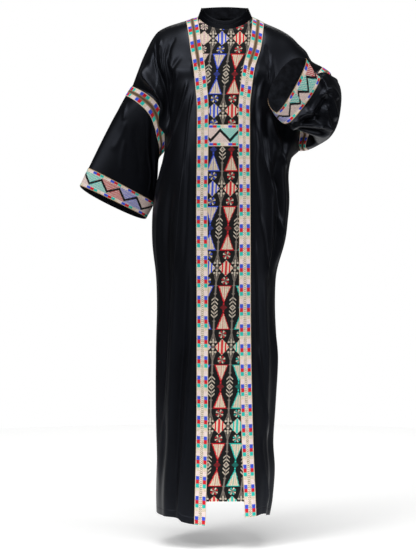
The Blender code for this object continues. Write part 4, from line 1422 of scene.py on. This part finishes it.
class BISHT_OT_body(bpy.types.Operator):
    """Make the back and the two fronts of black velvet"""

    bl_idname = "bisht.body"
    bl_label = "Back and fronts"

    def execute(self, context):
        sew("back", shapes()["back"], "black_velvet", flip=True)
        for side in BOTH:
            name = "front_" + SIDES[side]["name"]
            sew(name, shapes()[name], "black_velvet", flip=side == RIGHT)
        return {"FINISHED"}


class BISHT_OT_sleeves(bpy.types.Operator):
    """Make the two wide sleeves"""

    bl_idname = "bisht.sleeves"
    bl_label = "Sleeves"

    def execute(self, context):
        for side in BOTH:
            name = "sleeve_" + SIDES[side]["name"]
            sew(name, shapes()[name], "black_velvet", closed=True, flip=side == LEFT)
        return {"FINISHED"}


class BISHT_OT_collar(bpy.types.Operator):
    """Make the stand collar"""

    bl_idname = "bisht.collar"
    bl_label = "Collar"

    def execute(self, context):
        turns = np.linspace(0, 360, COLLAR_COLUMNS + 1)[:-1]
        foot = neckline(turns)
        flat = foot * np.array([1, 1, 0])
        outwards = flat / np.linalg.norm(flat, axis=1, keepdims=True)
        foot = foot - outwards * COLLAR_INSET + np.array([0, 0, COLLAR_RISE])
        behind = (1 + np.cos(np.radians(turns))) / 2
        height = COLLAR_HEIGHT_FRONT + (COLLAR_HEIGHT_BACK - COLLAR_HEIGHT_FRONT) * behind
        rows = []
        for level in np.linspace(1, -COLLAR_TUCK, COLLAR_ROWS + 1):
            rise = points(0.0, 0.0, height * level)
            wave = COLLAR_WAVE * np.sin(np.radians(turns * COLLAR_WAVES)) * level
            rows.append(foot + rise - outwards * (COLLAR_LEAN * level + wave[:, None]))
        sew("collar", np.array(rows), "collar_velvet", closed=True, flip=True)
        return {"FINISHED"}


class BISHT_OT_panel(bpy.types.Operator):
    """Make the cross-stitched centre panel and the zigzag band across it"""

    bl_idname = "bisht.panel"
    bl_label = "Centre panel and waist band"

    def execute(self, context):
        surface, drops = shapes()["centre"]
        at, _ = even_steps(surface[:, PANEL_STEPS // 2], STITCH)
        drop = np.interp(at, np.arange(len(drops)), drops)
        places = np.arange(PANEL_STEPS + 1.0)
        fine = resample(surface, at[:, None], places)
        red_x = follow(RED_COLUMN, "drop", "x", drop)
        steps = np.arange(-PANEL_REACH, PANEL_REACH + 1)
        wanted = red_x[:, None] + steps * STITCH
        share = np.array([np.interp(x, row[:, 0], places) for x, row in zip(wanted, fine)])
        grid = resample(fine, np.arange(len(drop), dtype=float)[:, None], share)
        used = np.flatnonzero(((share > 0) & (share < PANEL_STEPS)).any(axis=0))
        kept = slice(max(used[0] - 1, 0), used[-1] + 2)
        grid = grid[:, kept]
        sideways = stitch_places(steps[kept] * MM * STITCH, grid)
        ink = panel_pattern(thread_inks(), sideways, stitch_places(-grid[..., 2], grid))
        sew("centre_panel", grid, "cross_stitch", ink=hand_made(ink, 3))
        self.waist_band(fine, drop)
        return {"FINISHED"}

    def waist_band(self, fine, drop):
        """Lay the zigzag band across the panel."""
        low, high = np.interp(WAIST_BAND_DROPS, drop, np.arange(len(drop)))
        count = int(round((WAIST_BAND_DROPS[1] - WAIST_BAND_DROPS[0]) / STITCH))
        rows = np.linspace(low, high, count + 1)
        columns = np.linspace(PANEL_STEPS * BAND_END, PANEL_STEPS * (1 - BAND_END), WAIST_COLUMNS)
        grid = resample(fine, rows[:, None], columns)
        grid = grid + np.array([0, -LAY_GAP - bpy.context.scene.bisht.ribbon, 0])
        along = stitch_places(grid[..., 0], grid) * MM
        across = stitch_places(np.linspace(0, WAIST_WIDTH, count + 1)[:, None], grid)
        turn = along / BAND_PERIOD - WAIST_POINT * MM / BAND_PERIOD
        ink = band_pattern(thread_inks(), turn, across, WAIST_WIDTH, WAIST)
        sew("waist_band", grid, "woven_band", ink=hand_made(ink, 4))


class BISHT_OT_trims(bpy.types.Operator):
    """Make the woven trims down the two front edges"""

    bl_idname = "bisht.trims"
    bl_label = "Front trims"

    def execute(self, context):
        for side in BOTH:
            name = SIDES[side]["name"]
            surface = laid_on("front_" + name, False, -side)[:, :TRIM_COLUMNS + 1]
            middle = TRIM_COLUMNS // 2
            at, wanted = even_steps(surface[:, middle], STITCH)
            columns = np.arange(TRIM_COLUMNS + 1.0)
            grid = resample(surface, at[:, None], columns)
            start = np.interp(TRIM_START[side], -grid[:, middle, 2], wanted)
            along = stitch_places(wanted[:, None], grid) - start
            across = stitch_places(columns * TRIM_WIDTH * MM / TRIM_COLUMNS, grid)
            drop = stitch_places(-grid[..., 2], grid)
            ink = hand_made(trim_pattern(thread_inks(), across, along * MM, drop), 5 + side)
            sew("trim_" + name, grid, "woven_trim", flip=side == RIGHT, ink=ink)
        return {"FINISHED"}


class BISHT_OT_bands(bpy.types.Operator):
    """Make the arm bands and the zigzag cuff bands"""

    bl_idname = "bisht.bands"
    bl_label = "Arm and cuff bands"

    def execute(self, context):
        rows = SLEEVE_ROWS / SLEEVE_LENGTH
        cuff_start = SLEEVE_ROWS - CUFF_BAND_WIDTH * rows
        cuff_end = SLEEVE_ROWS - CUFF_BAND_INSET * rows
        arm_start = ARM_BAND_START * rows
        arm_end = (ARM_BAND_START + TRIM_WIDTH) * rows
        for side in BOTH:
            self.ring(side, "arm_band_", arm_start, arm_end, TRIM_WIDTH)
            self.ring(side, "cuff_band_", cuff_start, cuff_end, CUFF_BAND_WIDTH)
        return {"FINISHED"}

    def ring(self, side, name, first, last, width):
        """Lay a band round a sleeve, between two of its rows."""
        sleeve = "sleeve_" + SIDES[side]["name"]
        surface = laid_on(sleeve, True, side)
        surface = np.concatenate([surface, surface[:, :1]], axis=1)
        middle = resample(surface, (first + last) / 2, np.arange(surface.shape[1] * 1.0))
        at, wanted = even_steps(middle, STITCH)
        count = int(round(width / STITCH))
        grid = resample(surface, np.linspace(first, last, count + 1)[:, None], at)
        along = stitch_places(wanted / wanted[-1], grid)
        across = stitch_places(np.linspace(0, width * MM, count + 1)[:, None], grid)
        inks = thread_inks()
        if name == "cuff_band_":
            cuff = CUFFS[side]
            turn = (along - cuff["join"]) % 1 * cuff["repeats"] + cuff["start"]
            ink = band_pattern(inks, turn, across, width * MM, cuff)
            look = "woven_band"
        else:
            repeats = round(wanted[-1] * MM / TRIM_PERIOD)
            # With the drop at zero, the trim pattern's painted fold shade and its painted shadow
            # line run all round the arm band's middle
            ink = trim_pattern(inks, across, along * repeats * TRIM_PERIOD, np.zeros_like(across))
            look = "woven_trim"
        name = name + SIDES[side]["name"]
        ink = hand_made(ink, 7 + side)
        sew(name, grid[:, :-1], look, closed=True, flip=side == LEFT, ink=ink)


def ink_property(name, code):
    """A colour that a user may change."""
    return bpy.props.FloatVectorProperty(
        name=name,
        description="Colour of the " + name.lower(),
        subtype="COLOR_GAMMA",
        size=3,
        min=0.0,
        max=1.0,
        default=screen(code),
    )


def length_property(name, description, value):
    """A length that a user may change."""
    return bpy.props.FloatProperty(
        name=name, description=description, default=value, min=0.0, unit="LENGTH"
    )


class BishtSettings(bpy.types.PropertyGroup):
    """Thicknesses, strengths and colours of the bisht"""

    cloth: length_property("Cloth", "Thickness of the velvet", 0.0012)
    ribbon: length_property("Ribbon", "Thickness of the woven trims and bands", 0.0009)
    crease: bpy.props.FloatProperty(
        name="Creases", description="Strength of the small creases", default=1.5
    )
    sheen: bpy.props.FloatProperty(
        name="Sheen", description="Strength of the velvet's sheen", default=0.02
    )
    thread_strength: bpy.props.FloatProperty(
        name="Thread strength", description="Saturation of the threads", default=1.0
    )
    velvet: ink_property("Velvet", "040405")
    velvet_worn: ink_property("Brushed velvet", "090a0e")
    reverse: ink_property("Cloth's reverse", "22242a")
    sheen_tint: ink_property("Velvet's sheen", "a8b0c0")
    shine_tint: ink_property("Velvet's shine", "dfe8ff")
    black: ink_property("Black thread", "09090b")
    cream: ink_property("Cream thread", "f0dfc6")
    pale: ink_property("Pale shading thread", "cfb99c")
    pink: ink_property("Pale pink thread", "ffe9e4")
    blue: ink_property("Blue thread", "3a5ae0")
    red: ink_property("Red thread", "e01828")
    teal: ink_property("Teal thread", "22d0c0")
    dark_pink: ink_property("Deep pink thread", "a0606a")
    dark_blue: ink_property("Deep blue thread", "303a80")
    dark_red: ink_property("Deep red thread", "7a1a20")
    dark_teal: ink_property("Deep teal thread", "176a62")
    stem: ink_property("Stem thread", "8d8278")
    shade: ink_property("Flower shading thread", "6a625a")
    leaf: ink_property("Leaf thread", "d8cbb8")
    edge: ink_property("Ribbon edge", "c3a684")
    beige: ink_property("Ribbon middle", "f8ecdc")
    beige_pale: ink_property("Ribbon ground", "fff3e4")
    thread: ink_property("Ribbon's dark thread", "a58a68")
    # Brown of the painted fold shade on the trims' middle; the painted shadow line inside it is
    # this colour darkened
    folded: ink_property("Ribbon's folded middle", "94785a")
    band_teal: ink_property("Band teal", "5acdc2")
    band_red: ink_property("Band red", "cc4850")
    lavender: ink_property("Band lavender", "7c82dc")
    dusty: ink_property("Band dusty pink", "e6c6c2")
    dot: ink_property("Band dots", "f4ecde")
    floor: ink_property("Floor", "f6f6f5")


class BISHT_OT_looks(bpy.types.Operator):
    """Mix the looks of the cloths, threads and floor"""

    bl_idname = "bisht.looks"
    bl_label = "Looks"

    def execute(self, context):
        settings = context.scene.bisht
        velvet_look(settings, "black_velvet", 0.3)
        velvet_look(settings, "collar_velvet", 0.06)
        reverse_look(settings)
        stitched_look("cross_stitch", settings, 0.7, 0.05)
        stitched_look("woven_trim", settings, 0.45, 0.1)
        stitched_look("woven_band", settings, 0.45, 0.1)
        floor_look(settings)
        return {"FINISHED"}


class BISHT_OT_studio(bpy.types.Operator):
    """Make the pale floor, the soft lights and the camera"""

    bl_idname = "bisht.studio"
    bl_label = "Studio"

    def execute(self, context):
        bpy.ops.object.select_all(action="DESELECT")
        bpy.ops.mesh.primitive_circle_add(
            vertices=FLOOR_EDGES,
            radius=FLOOR_RADIUS,
            fill_type="NGON",
            location=(*FLOOR_MIDDLE, FLOOR_LEVEL),
        )
        floor = context.active_object
        floor.name = "floor"
        floor.data.materials.append(bpy.data.materials["pale_floor"])
        for name, place, aim, size, power in LIGHTS:
            bpy.ops.object.light_add(type="AREA", location=place)
            light = context.active_object
            light.name = name
            light.data.shape = "DISK"
            light.data.size = size
            light.data.energy = power
            direction = mathutils.Vector(aim) - mathutils.Vector(place)
            light.rotation_euler = direction.to_track_quat("-Z", "Y").to_euler()
        bpy.ops.object.light_add(type="SUN", rotation=np.radians(SUN_TURN))
        sun = context.active_object
        sun.name = "soft_overhead"
        sun.data.energy = SUN_STRENGTH
        sun.data.angle = np.radians(SUN_WIDTH)
        world = bpy.data.worlds.new("studio")
        board = NodeBoard(world)
        background = board.tree.nodes["Background"]
        board.fill(background, {"Color": AMBIENT_COLOUR, "Strength": WORLD_STRENGTH})
        seen = board.node("ShaderNodeLightPath", {}).node.outputs["Is Camera Ray"]
        white = board.node("ShaderNodeBackground", {"Color": (1, 1, 1, 1)})
        mix = board.node("ShaderNodeMixShader", {0: seen, 1: background.outputs[0], 2: white})
        board.fill(board.tree.nodes["World Output"], {0: mix})
        context.scene.world = world
        context.scene.view_settings.view_transform = "Standard"
        bpy.ops.object.camera_add(location=CAMERA_PLACE, rotation=(np.pi / 2, 0, 0))
        camera = context.active_object
        camera.name = "camera"
        camera.data.lens = CAMERA_LENS
        context.scene.camera = camera
        return {"FINISHED"}


STEPS = ("looks", "body", "sleeves", "collar", "panel", "trims", "bands", "studio")


class BISHT_PT_panel(bpy.types.Panel):
    """Steps that make the bisht"""

    bl_label = "Bisht"
    bl_idname = "BISHT_PT_panel"
    bl_space_type = "VIEW_3D"
    bl_region_type = "UI"
    bl_category = "Bisht"

    def draw(self, context):
        column = self.layout.column()
        for name in BishtSettings.__annotations__:
            column.prop(context.scene.bisht, name)
        for step in STEPS:
            column.operator("bisht." + step)


CLASSES = (
    BishtSettings,
    BISHT_OT_looks,
    BISHT_OT_body,
    BISHT_OT_sleeves,
    BISHT_OT_collar,
    BISHT_OT_panel,
    BISHT_OT_trims,
    BISHT_OT_bands,
    BISHT_OT_studio,
    BISHT_PT_panel,
)


def register():
    for item in CLASSES:
        bpy.utils.register_class(item)
    bpy.types.Scene.bisht = bpy.props.PointerProperty(type=BishtSettings)


def unregister():
    del bpy.types.Scene.bisht
    for item in reversed(CLASSES):
        bpy.utils.unregister_class(item)


def main():
    register()
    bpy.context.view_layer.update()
    for step in STEPS:
        getattr(bpy.ops.bisht, step)()


if __name__ == "__main__":
    main()
